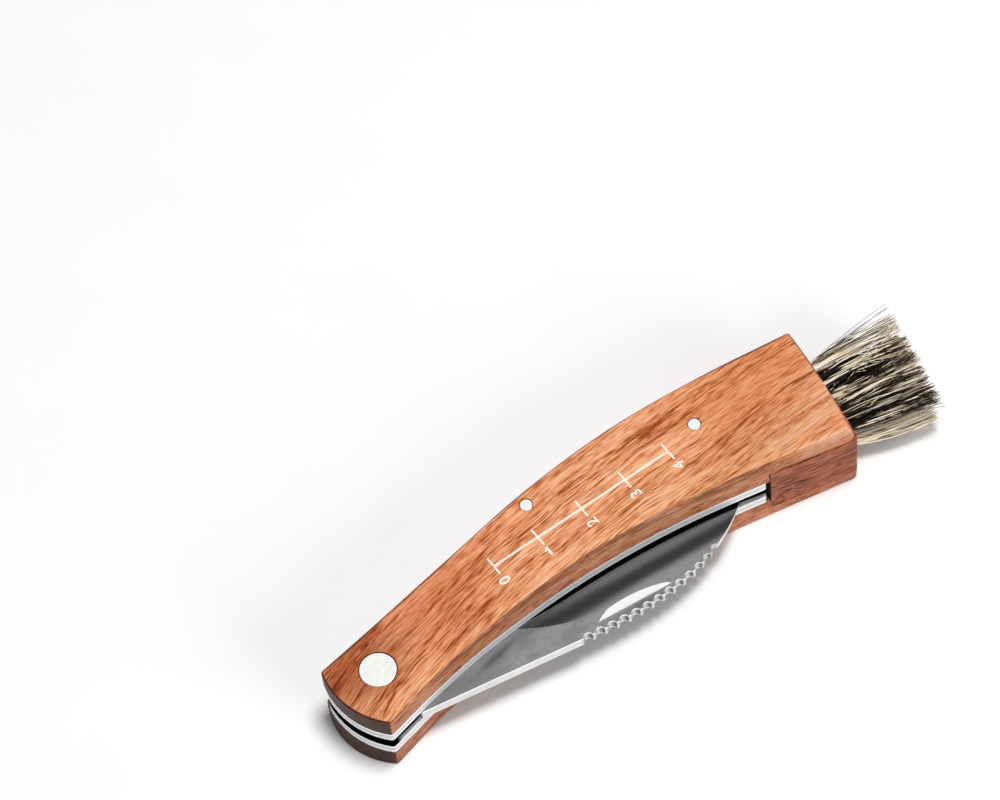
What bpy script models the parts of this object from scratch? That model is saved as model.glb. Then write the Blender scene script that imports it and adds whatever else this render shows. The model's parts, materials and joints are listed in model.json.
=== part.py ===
"""Folding mushroom knife, closed: wooden scales on steel liners, a curved blade with a
scalloped back on a riveted pivot, a backspring, and a bristle brush in a wooden butt block.

Metres, +Z up. The knife lies flat on its lower scale. Every outline is drawn from the pivot
axis: +X runs along the handle to the brush, and the blade's side of the handle faces -Y.
"""

import random
from math import atan, atan2, cos, hypot, pi, radians, sin, sqrt

import bmesh
import bpy
from mathutils import Matrix, Vector

# Handle outline, from the pivot axis
NOSE_BACK_REACH = 0.0086
NOSE_SIDE_REACH = 0.0046
NOSE_BULGE = 0.0023
BUTT_REACH = 0.1029
BUTT_SLANT = 0.0033
BUTT_BULGE = 0.0006
BACK_RISE = 0.0154
SIDE_DROP = 0.0144
CORNER_SOFTENING = 0.0005
BUTT_SIDE_ROUNDING = 0.0014
RIDGE_INSET = 0.0018
RIDGE_CORNER_INSET = 0.0009
EDGE_SOFTENING = 0.0003
REST_EDGE_SOFTENING = 0.00012
REST_FLARE = 0.0005

# Layers of the handle
SCALE_THICKNESS = 0.0044
LINER_THICKNESS = 0.0021
BLADE_THICKNESS = 0.0024
WASHER_THICKNESS = 0.00015
LAYER_GAP = 0.0001
LINER_NOSE_ROUNDING = 0.0024
LINER_END_ROUNDING = 0.0008

# Pivot rivet, washers and pins
RIVET_HEAD_DIAMETER = 0.0070
RIVET_HEAD_THICKNESS = 0.0016
RIVET_SHANK_DIAMETER = 0.0040
RIVET_CORE_DIAMETER = 0.0023
RIVET_CORE_SHORTFALL = 0.0006
WASHER_DIAMETER = 0.0078
PIN_DIAMETER = 0.0025
SPRING_PIN_ALONG = 0.0416
SPRING_PIN_ACROSS = 0.0115
REAR_PIN_ALONG = 0.0767
REAR_PIN_ACROSS = 0.0063
ROUND_FIT = 0.0001
HEAD_FIT = 0.00015
TURNED_CHAMFER = 0.00012

# Blade, closed, from the pivot axis
SPINE_START_ALONG = 0.0029
SPINE_START_DROP = 0.0089
SPINE_STRAIGHT_LENGTH = 0.0326
SPINE_ARCH_DROP = 0.0162
TIP_ALONG = 0.0772
TIP_DROP = 0.0066
EDGE_HEEL_ALONG = 0.0250
EDGE_HEEL_RISE = 0.0026
EDGE_HOLLOW = 0.0006
RICASSO_RISE = 0.0036
CHOIL_LENGTH = 0.0012
TANG_RADIUS = 0.0046
TANG_FLAT_DEPTH = 0.0002
SHOULDER_DEPTH = 0.0038
BLADE_TRAVEL = radians(165)

# Scallops along the blade's back
SCALLOP_COUNT = 13
SCALLOP_PITCH = 0.00251
SCALLOP_WIDTH = 0.00190
SCALLOP_DEPTH = 0.00075

# Grind and nail nick
EDGE_THICKNESS = 0.0003
GRIND_WIDTH = 0.0118
GRIND_WHEEL_RADIUS = 0.1000
PLUNGE_LENGTH = 0.0155
PLUNGE_START = 0.0400
NICK_ALONG = 0.0474
NICK_DROP = 0.0143
NICK_LENGTH = 0.0160
NICK_WIDTH = 0.0025
NICK_DEPTH = 0.0005
NICK_TILT = radians(-5.9)

# Backspring
SPRING_SEAT_CLEARANCE = 0.0001
SPRING_STOP_CLEARANCE = 0.0003
SPRING_BACK_INSET = 0.0002
SPRING_WAIST = 0.0046
SPRING_TAIL_DEPTH = 0.0118

# Butt block and brush
BLOCK_LENGTH = 0.0210
BLOCK_REBATE = 0.0022
BLOCK_GAP = 0.0007
TUFTS_IN_ROWS = (5, 4, 5)
TUFT_PITCH = 0.0036
TUFT_ROW_SPACING = 0.0026
TUFT_HOLE_DIAMETER = 0.0026
TUFT_HOLE_DEPTH = 0.0075
TUFT_SETBACK = 0.0006
BRUSH_SIDE_SHIFT = 0.0006
BRUSH_REACH = 0.0190
BRUSH_TIP_SLANT = 0.09
BRUSH_FAN_WIDE = 0.13
BRUSH_FAN_THICK = 0.30
BRUSH_LEAN = 0.0013
STRAND_SPACE = 0.00022
STRAND_TIP_SHARE = 0.7
STRAND_WANDER = 0.00007
STRAND_RAGGEDNESS = 0.0006
ANCHOR_THICKNESS = 0.0003
ANCHOR_WIDTH = 0.0030
ANCHOR_LENGTH = 0.0012

# One overrun serves all cuts that pass a surface
OVERRUN = 0.0010
MERGE_DISTANCE = 0.000001

# Outlines, as shares of the reach along and of the rise or drop across
BACK_SHARES = (
    (0.0, 0.393), (0.132, 0.539), (0.298, 0.737), (0.466, 0.925),
    (0.644, 1.0), (0.822, 0.921), (1.0, 0.753),
)
SIDE_SHARES = (
    (0.0, 0.729), (0.121, 0.542), (0.248, 0.4125), (0.426, 0.355),
    (0.605, 0.432), (0.781, 0.639), (1.0, 1.0),
)
RIDGE_INSET_SHARES = (0.05, 0.08, 0.20, 0.55, 0.60, 0.60, 1.0)
REST_FLARE_SHARES = (0.2, -0.5, 0.0, 0.3, 0.7, 1.0, -0.4)
# Each ring of the upper scale's side: share of its thickness, share of the ridge inset
SCALE_SIDE_SHARES = ((0.0, 0.0), (0.45, 0.25), (0.75, 0.6), (0.93, 0.93))
# Along from the straight's end to the tip, and drop between the two, as shares
SPINE_ARCH_SHARES = (
    (0.145, 0.955), (0.29, 0.995), (0.43, 1.0), (0.56, 0.975), (0.67, 0.92),
    (0.757, 0.835), (0.84, 0.74), (0.914, 0.63), (0.965, 0.53),
)
# The backspring's inner edge: share of its length, share of the fall from waist to tail
SPRING_INNER_SHARES = ((0.09, 0.0), (0.20, 0.0), (0.34, 0.0), (0.48, 0.0), (0.66, 0.10))

BACK_STEPS = 5
SIDE_STEPS = 5
ARC_STEPS = 10
SCALLOP_STEPS = 7
ROUND_STEPS = 48
HOLE_STEPS = 20
GRIND_STEPS = 12
PLUNGE_STEPS = 7
NICK_STEPS = 180
STRAND_SEED = 11

# Derived sizes
LINER_LOW = SCALE_THICKNESS + LAYER_GAP
SLOT_LOW = LINER_LOW + LINER_THICKNESS
SLOT_THICKNESS = BLADE_THICKNESS + 2 * LAYER_GAP
SLOT_HIGH = SLOT_LOW + SLOT_THICKNESS
LINER_HIGH = SLOT_HIGH + LINER_THICKNESS
SCALE_HIGH_BASE = LINER_HIGH + LAYER_GAP
HANDLE_THICKNESS = SCALE_HIGH_BASE + SCALE_THICKNESS
MIDDLE = HANDLE_THICKNESS / 2
BLADE_LOW = MIDDLE - BLADE_THICKNESS / 2
BLADE_HIGH = MIDDLE + BLADE_THICKNESS / 2
BLOCK_FRONT = BUTT_REACH - BLOCK_LENGTH
LINER_END = BLOCK_FRONT - BLOCK_GAP
BLOCK_LOW = SCALE_THICKNESS - BLOCK_REBATE + LAYER_GAP
BLOCK_HIGH = HANDLE_THICKNESS - BLOCK_LOW
HANDLE_WIDTH = BACK_RISE + SIDE_DROP

parts = None
cutters = None
datum = None


# Outline geometry in the plane, as lists of 2D vectors that run anticlockwise

def along(a, b, share):
    return a + (b - a) * share


def rotated(point, angle):
    return Matrix.Rotation(angle, 2) @ point


def smooth_curve(points, steps):
    """Points of a curve through all the given points, steps to each span."""
    ends = [2 * points[0] - points[1], *points, 2 * points[-1] - points[-2]]
    curve = []
    for before, start, end, after in zip(ends, ends[1:], ends[2:], ends[3:]):
        for step in range(steps):
            t = step / steps
            curve.append(0.5 * (
                2 * start + (end - before) * t
                + (2 * before - 5 * start + 4 * end - after) * t ** 2
                + (3 * start - before - 3 * end + after) * t ** 3
            ))
    return curve + [points[-1].copy()]


def arc(start, end, bulge, steps):
    """Arc from start to end; a positive bulge swells to the right of the way."""
    chord = end - start
    half = chord.length / 2
    radius = (half ** 2 + bulge ** 2) / (2 * abs(bulge))
    side = 1 if bulge > 0 else -1
    outward = Vector((chord.y, -chord.x)).normalized() * side
    centre = (start + end) / 2 + outward * (abs(bulge) - radius)
    sweep = 2 * atan2(half, radius - abs(bulge)) * side
    return [centre + rotated(start - centre, sweep * step / steps) for step in range(steps + 1)]


def length_of(curve):
    return sum((b - a).length for a, b in zip(curve, curve[1:]))


def point_at(curve, distance):
    """The point that lies the given distance along a curve."""
    for a, b in zip(curve, curve[1:]):
        step = (b - a).length
        if distance <= step:
            return along(a, b, distance / step)
        distance -= step
    return curve[-1].copy()


def stretch(curve, start, end):
    """The part of a curve between two distances along it."""
    kept = [point_at(curve, start)]
    travelled = 0.0
    for a, b in zip(curve, curve[1:]):
        travelled += (b - a).length
        if start < travelled < end:
            kept.append(b.copy())
    kept.append(point_at(curve, end))
    return kept


def loop_of(curves, roundings):
    """One closed outline; each curve's end is rounded into the next curve's start."""
    outline = []
    before = roundings[-1:] + roundings[:-1]
    for curve, start_cut, end_cut in zip(curves, before, roundings):
        length = length_of(curve)
        start_cut = min(start_cut, length / 3)
        end_cut = min(end_cut, length / 3)
        outline.append(stretch(curve, start_cut, length - end_cut))
    loop = []
    for here, after, curve, cut in zip(outline, outline[1:] + outline[:1], curves, roundings):
        loop.extend(here)
        if cut > 0:
            for step in range(1, 4):
                t = step / 4
                loop.append(along(along(here[-1], curve[-1], t), along(curve[-1], after[0], t), t))
    return without_doubles(loop)


def without_doubles(loop):
    kept = []
    for point in loop:
        if not kept or (point - kept[-1]).length > MERGE_DISTANCE:
            kept.append(point)
    if (kept[0] - kept[-1]).length <= MERGE_DISTANCE:
        kept.pop()
    return kept


def inset(loop, distances):
    """Each point of an anticlockwise outline moved inwards by its own distance."""
    moved = []
    for before, here, after, distance in zip(loop[-1:] + loop[:-1], loop, loop[1:] + loop[:1], distances):
        into = (here - before).normalized()
        out = (after - here).normalized()
        normal = Vector((-into.y - out.y, into.x + out.x)).normalized()
        mitre = max(normal.dot(Vector((-into.y, into.x))), 0.5)
        moved.append(here + normal * distance / mitre)
    return moved


# The handle's edges

def back_point(share, rise_share):
    start = Vector((-NOSE_BACK_REACH, 0.0))
    end = Vector((BUTT_REACH, 0.0))
    return along(start, end, share) + Vector((0.0, BACK_RISE * rise_share))


def side_point(share, drop_share):
    start = Vector((-NOSE_SIDE_REACH, 0.0))
    end = Vector((BUTT_REACH - BUTT_SLANT, 0.0))
    return along(start, end, share) - Vector((0.0, SIDE_DROP * drop_share))


def back_edge():
    """The convex back of the handle, from the nose to the butt."""
    return smooth_curve([back_point(*shares) for shares in BACK_SHARES], BACK_STEPS)


def side_edge(inset_share=0.0, flare_share=0.0):
    """The hollow side where the blade closes, from the nose to the butt."""
    points = []
    for shares, ridge_share, rest_share in zip(SIDE_SHARES, RIDGE_INSET_SHARES, REST_FLARE_SHARES):
        point = side_point(*shares)
        point.y += RIDGE_INSET * ridge_share * inset_share
        point.y -= REST_FLARE * rest_share * flare_share
        points.append(point)
    points[-1].x -= RIDGE_CORNER_INSET * inset_share
    return smooth_curve(points, SIDE_STEPS)


def butt_end():
    return arc(side_edge()[-1], back_edge()[-1], BUTT_BULGE, ARC_STEPS)


def handle_outline(inset_share=0.0, softening=0.0, flare_share=0.0):
    """Outline of the handle; the blade side moves in by the ridge inset, or out by the flare."""
    side = side_edge(inset_share, flare_share)
    back = back_edge()
    butt = arc(side[-1], back[-1], BUTT_BULGE, ARC_STEPS)
    nose = arc(back[0], side[0], NOSE_BULGE + REST_FLARE * flare_share, ARC_STEPS)
    curves = [side, butt, back[::-1], nose]
    roundings = [BUTT_SIDE_ROUNDING, CORNER_SOFTENING, CORNER_SOFTENING, CORNER_SOFTENING]
    loop = loop_of(curves, roundings)
    return inset(loop, [softening] * len(loop)) if softening else loop


def liner_outline():
    """The handle's outline with a rounded back corner at the nose, square cut at the rear."""
    side = cut_short(side_edge())
    back = cut_short(back_edge())
    nose = arc(back[0], side[0], NOSE_BULGE, ARC_STEPS)
    curves = [side, [side[-1], back[-1]], back[::-1], nose]
    roundings = [LINER_END_ROUNDING, LINER_END_ROUNDING, LINER_NOSE_ROUNDING, CORNER_SOFTENING]
    return loop_of(curves, roundings)


def cut_short(curve):
    """A lengthwise edge ended where the liners end."""
    kept = [point for point in curve if point.x < LINER_END]
    beyond = curve[len(kept)]
    share = (LINER_END - kept[-1].x) / (beyond.x - kept[-1].x)
    return kept + [along(kept[-1], beyond, share)]


# The blade's outline

def spine_arch():
    """The curved back of the blade, from the straight's end to the tip."""
    start = spine_straight()[-1]
    tip = Vector((TIP_ALONG, -TIP_DROP))
    points = [start]
    for reach_share, drop_share in SPINE_ARCH_SHARES:
        points.append(Vector((along(start.x, tip.x, reach_share), -SPINE_ARCH_DROP * drop_share)))
    return smooth_curve(points + [tip], BACK_STEPS)


def spine_straight():
    start = Vector((SPINE_START_ALONG, -SPINE_START_DROP))
    fall = SPINE_ARCH_DROP * SPINE_ARCH_SHARES[0][1] - SPINE_START_DROP
    slope = fall / (SPINE_STRAIGHT_LENGTH * (1 + SPINE_ARCH_SHARES[0][0]))
    return [start, start + Vector((1.0, -slope)).normalized() * SPINE_STRAIGHT_LENGTH]


def scalloped_back():
    """The arch with its scallops, which start where the straight ends."""
    arch = spine_arch()
    length = length_of(arch)
    outline = []
    land = (SCALLOP_PITCH - SCALLOP_WIDTH) / 2
    for number in range(SCALLOP_COUNT):
        start = SCALLOP_PITCH * number + land
        end = start + SCALLOP_WIDTH
        if end > length - SCALLOP_PITCH:
            break
        outline += arc(point_at(arch, start), point_at(arch, end), -SCALLOP_DEPTH, SCALLOP_STEPS)
    run_start = SCALLOP_PITCH * SCALLOP_COUNT
    if run_start < length - SCALLOP_PITCH:
        outline += stretch(arch, run_start, length)
    else:
        outline.append(arch[-1])
    return outline


def tang_outline():
    """From the ricasso's flat round the end of the tang to the shoulder's foot."""
    flat = TANG_RADIUS - TANG_FLAT_DEPTH
    half = sqrt(TANG_RADIUS ** 2 - flat ** 2)
    half_angle = atan2(half, flat)
    closed_flat = pi / 2
    open_flat = pi / 2 + BLADE_TRAVEL
    start = closed_flat + half_angle
    end = open_flat - half_angle
    points = [Vector((half, flat))]
    for step in range(ARC_STEPS * 2 + 1):
        angle = along(start, end, step / (ARC_STEPS * 2))
        points.append(Vector((cos(angle), sin(angle))) * TANG_RADIUS)
    last = open_flat + half_angle
    points.append(Vector((cos(last), sin(last))) * TANG_RADIUS)
    return points


def shoulder_foot():
    """Inner end of the step in the blade's back that stops it on the backspring."""
    top = Vector((SPINE_START_ALONG, -SPINE_START_DROP))
    return top + rotated(Vector((0.0, SHOULDER_DEPTH)), radians(9))


def blade_outline():
    tip = Vector((TIP_ALONG, -TIP_DROP))
    heel = Vector((EDGE_HEEL_ALONG, EDGE_HEEL_RISE))
    ricasso = Vector((EDGE_HEEL_ALONG - CHOIL_LENGTH, RICASSO_RISE))
    edge = arc(tip, heel, -EDGE_HOLLOW, ARC_STEPS)
    return without_doubles(
        spine_straight() + scalloped_back() + edge + [ricasso] + tang_outline() + [shoulder_foot()]
    )


# The backspring's outline

def spring_outline():
    """Along the handle's back, with its front end cut parallel to the opened shoulder."""
    back = inset_curve(cut_short(back_edge()), SPRING_BACK_INSET)
    seat = TANG_RADIUS + SPRING_SEAT_CLEARANCE
    top = rotated(Vector((SPINE_START_ALONG, -SPINE_START_DROP)), -BLADE_TRAVEL)
    foot = rotated(shoulder_foot(), -BLADE_TRAVEL)
    face = (foot - top).normalized()
    away = Vector((-face.y, face.x)) * SPRING_STOP_CLEARANCE
    slope = (foot.x - top.x) / (foot.y - top.y)

    def on_face(height):
        return Vector((foot.x + (height - foot.y) * slope, height)) + Vector((away.length, 0.0))

    front_low = on_face(seat)
    outer = [point for point in back if point.x > on_face(point.y).x]
    front_high = on_face(outer[0].y)
    length = LINER_END - front_low.x
    waist = back_edge_height(SPRING_PIN_ALONG) - SPRING_BACK_INSET - SPRING_WAIST
    tail = outer[-1].y - SPRING_TAIL_DEPTH
    inner = [Vector((front_low.x, seat)), Vector((front_low.x + length * SPRING_INNER_SHARES[0][0], seat))]
    for reach_share, fall_share in SPRING_INNER_SHARES[1:]:
        rise = min(1.0, (reach_share - SPRING_INNER_SHARES[0][0]) / SPRING_INNER_SHARES[2][0])
        height = along(along(seat, waist, rise), tail, fall_share)
        inner.append(Vector((front_low.x + length * reach_share, height)))
    inner.append(Vector((along(front_low.x, LINER_END, 0.84), tail)))
    inner.append(Vector((LINER_END, tail)))
    return without_doubles(inner + outer[::-1] + [front_high])


def inset_curve(curve, distance):
    """A back edge moved in towards the blade side."""
    return [point - Vector((0.0, distance)) for point in curve]


def back_edge_height(reach):
    curve = back_edge()
    for a, b in zip(curve, curve[1:]):
        if a.x <= reach <= b.x:
            return along(a.y, b.y, (reach - a.x) / (b.x - a.x))
    return curve[-1].y


# Scene, materials and solids

def clear_scene():
    for thing in list(bpy.data.objects):
        bpy.data.objects.remove(thing, do_unlink=True)


def make_collections():
    global parts, cutters, datum
    parts = bpy.data.collections.new("mushroom_knife")
    cutters = bpy.data.collections.new("cutters")
    bpy.context.scene.collection.children.link(parts)
    bpy.context.scene.collection.children.link(cutters)
    datum = bpy.data.objects.new("pivot_datum", None)
    parts.objects.link(datum)


def make_material(name, colour, roughness, metallic):
    material = bpy.data.materials.new(name)
    material.use_nodes = True
    shader = material.node_tree.nodes["Principled BSDF"]
    shader.inputs["Base Color"].default_value = (*colour, 1.0)
    shader.inputs["Roughness"].default_value = roughness
    shader.inputs["Metallic"].default_value = metallic
    material.diffuse_color = (*colour, 1.0)
    return material


def place(thing, collection, material=None):
    """Puts an object under the pivot datum, in its collection, with its material."""
    for owner in list(thing.users_collection):
        owner.objects.unlink(thing)
    collection.objects.link(thing)
    thing.parent = datum
    if material:
        thing.data.materials.clear()
        thing.data.materials.append(material)
    if collection == cutters:
        thing.hide_render = True
        thing.display_type = "WIRE"
    return thing


def shade_round(mesh, angle=radians(30)):
    mesh.shade_smooth()
    mesh.set_sharp_from_angle(angle=angle)


def plate(name, outline, low, high, collection=None, material=None):
    """A flat outline extruded between two heights."""
    curve = bpy.data.curves.new(name, "CURVE")
    curve.dimensions = "2D"
    curve.fill_mode = "BOTH"
    curve.extrude = (high - low) / 2
    spline = curve.splines.new("POLY")
    spline.points.add(len(outline) - 1)
    for point, place_on in zip(spline.points, outline):
        point.co = (place_on.x, place_on.y, 0.0, 1.0)
    spline.use_cyclic_u = True
    drawn = bpy.data.objects.new(name + "_outline", curve)
    drawn.location.z = (low + high) / 2
    bpy.context.scene.collection.objects.link(drawn)
    bpy.context.view_layer.update()
    mesh = bpy.data.meshes.new_from_object(drawn.evaluated_get(bpy.context.evaluated_depsgraph_get()))
    solid = bpy.data.objects.new(name, mesh)
    solid.matrix_world = drawn.matrix_world
    weld(mesh)
    bpy.data.objects.remove(drawn, do_unlink=True)
    return place(solid, collection or parts, material)


def weld(mesh):
    form = bmesh.new()
    form.from_mesh(mesh)
    bmesh.ops.remove_doubles(form, verts=form.verts, dist=MERGE_DISTANCE)
    form.to_mesh(mesh)
    form.free()


def loft(name, rings, collection, material=None):
    """A closed solid skinned over rings of equally many points, bottom ring first."""
    form = bmesh.new()
    rows = [[form.verts.new(point) for point in ring] for ring in rings]
    for lower, upper in zip(rows, rows[1:]):
        for a, b, c, d in zip(lower, lower[1:] + lower[:1], upper[1:] + upper[:1], upper):
            form.faces.new((a, b, c, d))
    form.faces.new(rows[0][::-1])
    form.faces.new(rows[-1])
    bmesh.ops.recalc_face_normals(form, faces=form.faces)
    mesh = bpy.data.meshes.new(name)
    form.to_mesh(mesh)
    form.free()
    return place(bpy.data.objects.new(name, mesh), collection, material)


def turned(name, profile, material, steps=ROUND_STEPS):
    """A turned piece: its profile runs down the outer side, top to bottom."""
    mesh = bpy.data.meshes.new(name)
    points = [(radius, 0.0, height) for radius, height in profile]
    closed = profile[0][0] > 0
    edges = [(i, i + 1) for i in range(len(points) - 1)]
    if closed:
        edges.append((len(points) - 1, 0))
    mesh.from_pydata(points, edges, [])
    piece = place(bpy.data.objects.new(name, mesh), parts, material)
    screw = piece.modifiers.new("turning", "SCREW")
    screw.steps = steps
    screw.render_steps = steps
    screw.use_merge_vertices = True
    screw.merge_threshold = MERGE_DISTANCE
    screw.use_smooth_shade = True
    return piece


def cylinder(name, centre, radius, low, high, steps=HOLE_STEPS, frame=Matrix.Identity(4)):
    """An upright round cutter in the given frame."""
    form = bmesh.new()
    bmesh.ops.create_cone(
        form, cap_ends=True, segments=steps, radius1=radius, radius2=radius, depth=high - low)
    mesh = bpy.data.meshes.new(name)
    form.to_mesh(mesh)
    form.free()
    thing = place(bpy.data.objects.new(name, mesh), cutters)
    thing.matrix_local = frame @ Matrix.Translation((centre[0], centre[1], (low + high) / 2))
    return thing


def box(name, low, high, frame=Matrix.Identity(4), collection=None, material=None):
    """A block between two corners of the given frame."""
    form = bmesh.new()
    bmesh.ops.create_cube(form, size=1.0)
    bmesh.ops.scale(form, vec=Vector(high) - Vector(low), verts=form.verts)
    mesh = bpy.data.meshes.new(name)
    form.to_mesh(mesh)
    form.free()
    thing = place(bpy.data.objects.new(name, mesh), collection or cutters, material)
    thing.matrix_local = frame @ Matrix.Translation((Vector(low) + Vector(high)) / 2)
    return thing


def cut(target, cutter):
    subtraction = target.modifiers.new(cutter.name, "BOOLEAN")
    subtraction.operation = "DIFFERENCE"
    subtraction.object = cutter
    subtraction.solver = "EXACT"


# The pieces

def pin_places():
    return (SPRING_PIN_ALONG, SPRING_PIN_ACROSS), (REAR_PIN_ALONG, REAR_PIN_ACROSS)


def make_handle_cutters():
    """Holes for the rivet and the pins, and the space of the butt block."""
    low = -OVERRUN
    high = HANDLE_THICKNESS + OVERRUN
    shank = cylinder("rivet_hole", (0.0, 0.0), RIVET_SHANK_DIAMETER / 2 + ROUND_FIT, low, high, ROUND_STEPS)
    head_radius = RIVET_HEAD_DIAMETER / 2 + HEAD_FIT
    depth = RIVET_HEAD_THICKNESS + LAYER_GAP
    heads = [
        cylinder("lower_head_seat", (0.0, 0.0), head_radius, low, depth, ROUND_STEPS),
        cylinder("upper_head_seat", (0.0, 0.0), head_radius, HANDLE_THICKNESS - depth, high, ROUND_STEPS),
    ]
    holes = []
    for number, centre in enumerate(pin_places(), 1):
        holes.append(cylinder(f"pin_hole_{number}", centre, PIN_DIAMETER / 2 + ROUND_FIT, low, high))
    rear = BUTT_REACH + OVERRUN * 2
    block_space = box(
        "block_space",
        (BLOCK_FRONT - LAYER_GAP, -HANDLE_WIDTH, BLOCK_LOW - LAYER_GAP),
        (rear, HANDLE_WIDTH, BLOCK_HIGH + LAYER_GAP),
    )
    return shank, heads, holes, block_space


def make_upper_scale(material, shank, heads, holes, block_space):
    """Upper scale: its blade side leans in to a ridge along the top face."""
    rings = []
    for height_share, inset_share in SCALE_SIDE_SHARES:
        height = SCALE_HIGH_BASE + SCALE_THICKNESS * height_share
        rings.append([(p.x, p.y, height) for p in handle_outline(inset_share)])
    rings.append([(p.x, p.y, HANDLE_THICKNESS) for p in handle_outline(1.0, EDGE_SOFTENING)])
    scale = loft("upper_scale", rings, parts, material)
    shade_round(scale.data)
    for cutter in (shank, heads[1], *holes, block_space):
        cut(scale, cutter)


def make_lower_scale(material, shank, heads, holes, block_space):
    """Lower scale: it flares a little to a softened edge round its resting face."""
    rings = [
        [(p.x, p.y, 0.0) for p in handle_outline(0.0, REST_EDGE_SOFTENING, 1.0)],
        [(p.x, p.y, REST_EDGE_SOFTENING) for p in handle_outline(0.0, 0.0, 1.0)],
        [(p.x, p.y, SCALE_THICKNESS) for p in handle_outline()],
    ]
    scale = loft("lower_scale", rings, parts, material)
    shade_round(scale.data)
    for cutter in (shank, heads[0], *holes, block_space):
        cut(scale, cutter)


def make_liners(material, shank, holes):
    """Each liner has a shallow recess round the pivot, where its washer lies."""
    recess_depth = WASHER_THICKNESS + LAYER_GAP
    recess_radius = WASHER_DIAMETER / 2 + ROUND_FIT
    for name, low, recess_low, recess_high in (
        ("lower_liner", LINER_LOW, SLOT_LOW - recess_depth, SLOT_LOW + OVERRUN),
        ("upper_liner", SLOT_HIGH, SLOT_HIGH - OVERRUN, SLOT_HIGH + recess_depth),
    ):
        liner = plate(name, liner_outline(), low, low + LINER_THICKNESS, material=material)
        recess = cylinder(
            name + "_recess", (0.0, 0.0), recess_radius, recess_low, recess_high, ROUND_STEPS)
        for cutter in (recess, shank, *holes):
            cut(liner, cutter)


def make_rivet(material):
    """Two-part cutler's rivet: a hollow shank from above and a core from below."""
    head = RIVET_HEAD_DIAMETER / 2
    shank = RIVET_SHANK_DIAMETER / 2
    core = RIVET_CORE_DIAMETER / 2
    bore = core + ROUND_FIT
    top = HANDLE_THICKNESS
    shank_end = RIVET_HEAD_THICKNESS + LAYER_GAP
    bore_end = top - RIVET_HEAD_THICKNESS - RIVET_CORE_SHORTFALL
    core_end = bore_end - RIVET_CORE_SHORTFALL
    turned("pivot_rivet_sleeve", (
        (0.0, top), (head - TURNED_CHAMFER, top), (head, top - TURNED_CHAMFER),
        (head, top - RIVET_HEAD_THICKNESS), (shank, top - RIVET_HEAD_THICKNESS),
        (shank, shank_end), (bore, shank_end), (bore, bore_end), (0.0, bore_end),
    ), material)
    turned("pivot_rivet_core", (
        (0.0, core_end), (core, core_end), (core, RIVET_HEAD_THICKNESS), (head, RIVET_HEAD_THICKNESS),
        (head, TURNED_CHAMFER), (head - TURNED_CHAMFER, 0.0), (0.0, 0.0),
    ), material)


def make_washers(material):
    inner = RIVET_SHANK_DIAMETER / 2 + ROUND_FIT
    outer = WASHER_DIAMETER / 2
    for name, low in (("lower_washer", SLOT_LOW - WASHER_THICKNESS), ("upper_washer", SLOT_HIGH)):
        high = low + WASHER_THICKNESS
        turned(name, ((inner, high), (outer, high), (outer, low), (inner, low)), material)


def make_pins(material):
    """Two plain pins, flush with both scales."""
    radius = PIN_DIAMETER / 2
    for name, centre in zip(("spring_pin", "rear_pin"), pin_places()):
        pin = turned(name, (
            (0.0, HANDLE_THICKNESS), (radius - TURNED_CHAMFER, HANDLE_THICKNESS),
            (radius, HANDLE_THICKNESS - TURNED_CHAMFER), (radius, TURNED_CHAMFER),
            (radius - TURNED_CHAMFER, 0.0), (0.0, 0.0),
        ), material, HOLE_STEPS)
        pin.location = (*centre, 0.0)


def make_backspring(material, holes):
    spring = plate("backspring", spring_outline(), SLOT_LOW + LAYER_GAP, SLOT_HIGH - LAYER_GAP, material=material)
    for cutter in holes:
        cut(spring, cutter)


def grind_cutter(name, side):
    """The wheel's cut on one face: it rises out of the blade along the plunge."""
    heel = Vector((EDGE_HEEL_ALONG, EDGE_HEEL_RISE))
    tip = Vector((TIP_ALONG, -TIP_DROP))
    forward = (tip - heel).normalized()
    across = Vector((-forward.y, forward.x))
    depth = (BLADE_THICKNESS - EDGE_THICKNESS) / 2
    lean = atan(depth / GRIND_WIDTH)
    half_chord = hypot(GRIND_WIDTH, depth) / 2
    half_sweep = atan2(half_chord, sqrt(GRIND_WHEEL_RADIUS ** 2 - half_chord ** 2))
    over = OVERRUN / GRIND_WHEEL_RADIUS * 2
    arc_points = []
    for step in range(GRIND_STEPS + 1):
        angle = along(-half_sweep - over, half_sweep + over, step / GRIND_STEPS)
        sideways = GRIND_WHEEL_RADIUS * sin(angle)
        sag = GRIND_WHEEL_RADIUS * (cos(angle) - cos(half_sweep))
        mid_width = -GRIND_WIDTH / 2
        arc_points.append((
            mid_width + sideways * cos(lean) + sag * sin(lean),
            -depth / 2 - sideways * sin(lean) - sag * cos(lean),
        ))
    roof = GRIND_WIDTH
    start = (Vector((PLUNGE_START, 0.0)) - Vector((heel.x, 0.0))).x / forward.x
    stations = [(start - PLUNGE_LENGTH * (1 - step / PLUNGE_STEPS), (1 - step / PLUNGE_STEPS) ** 2)
                for step in range(PLUNGE_STEPS)]
    stations += [(start, 0.0), ((tip - heel).length + GRIND_WIDTH, 0.0)]
    surface = BLADE_THICKNESS / 2
    rings = []
    for distance, rise_share in stations:
        rise = (depth + OVERRUN / 2) * rise_share
        ring = []
        for width, height in arc_points + [(arc_points[-1][0], roof), (arc_points[0][0], roof)]:
            place_on = heel + forward * distance + across * width
            lift = height if height == roof else height + rise
            ring.append((place_on.x, place_on.y, MIDDLE + side * (surface + lift)))
        rings.append(ring)
    return loft(name, rings, cutters)


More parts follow.
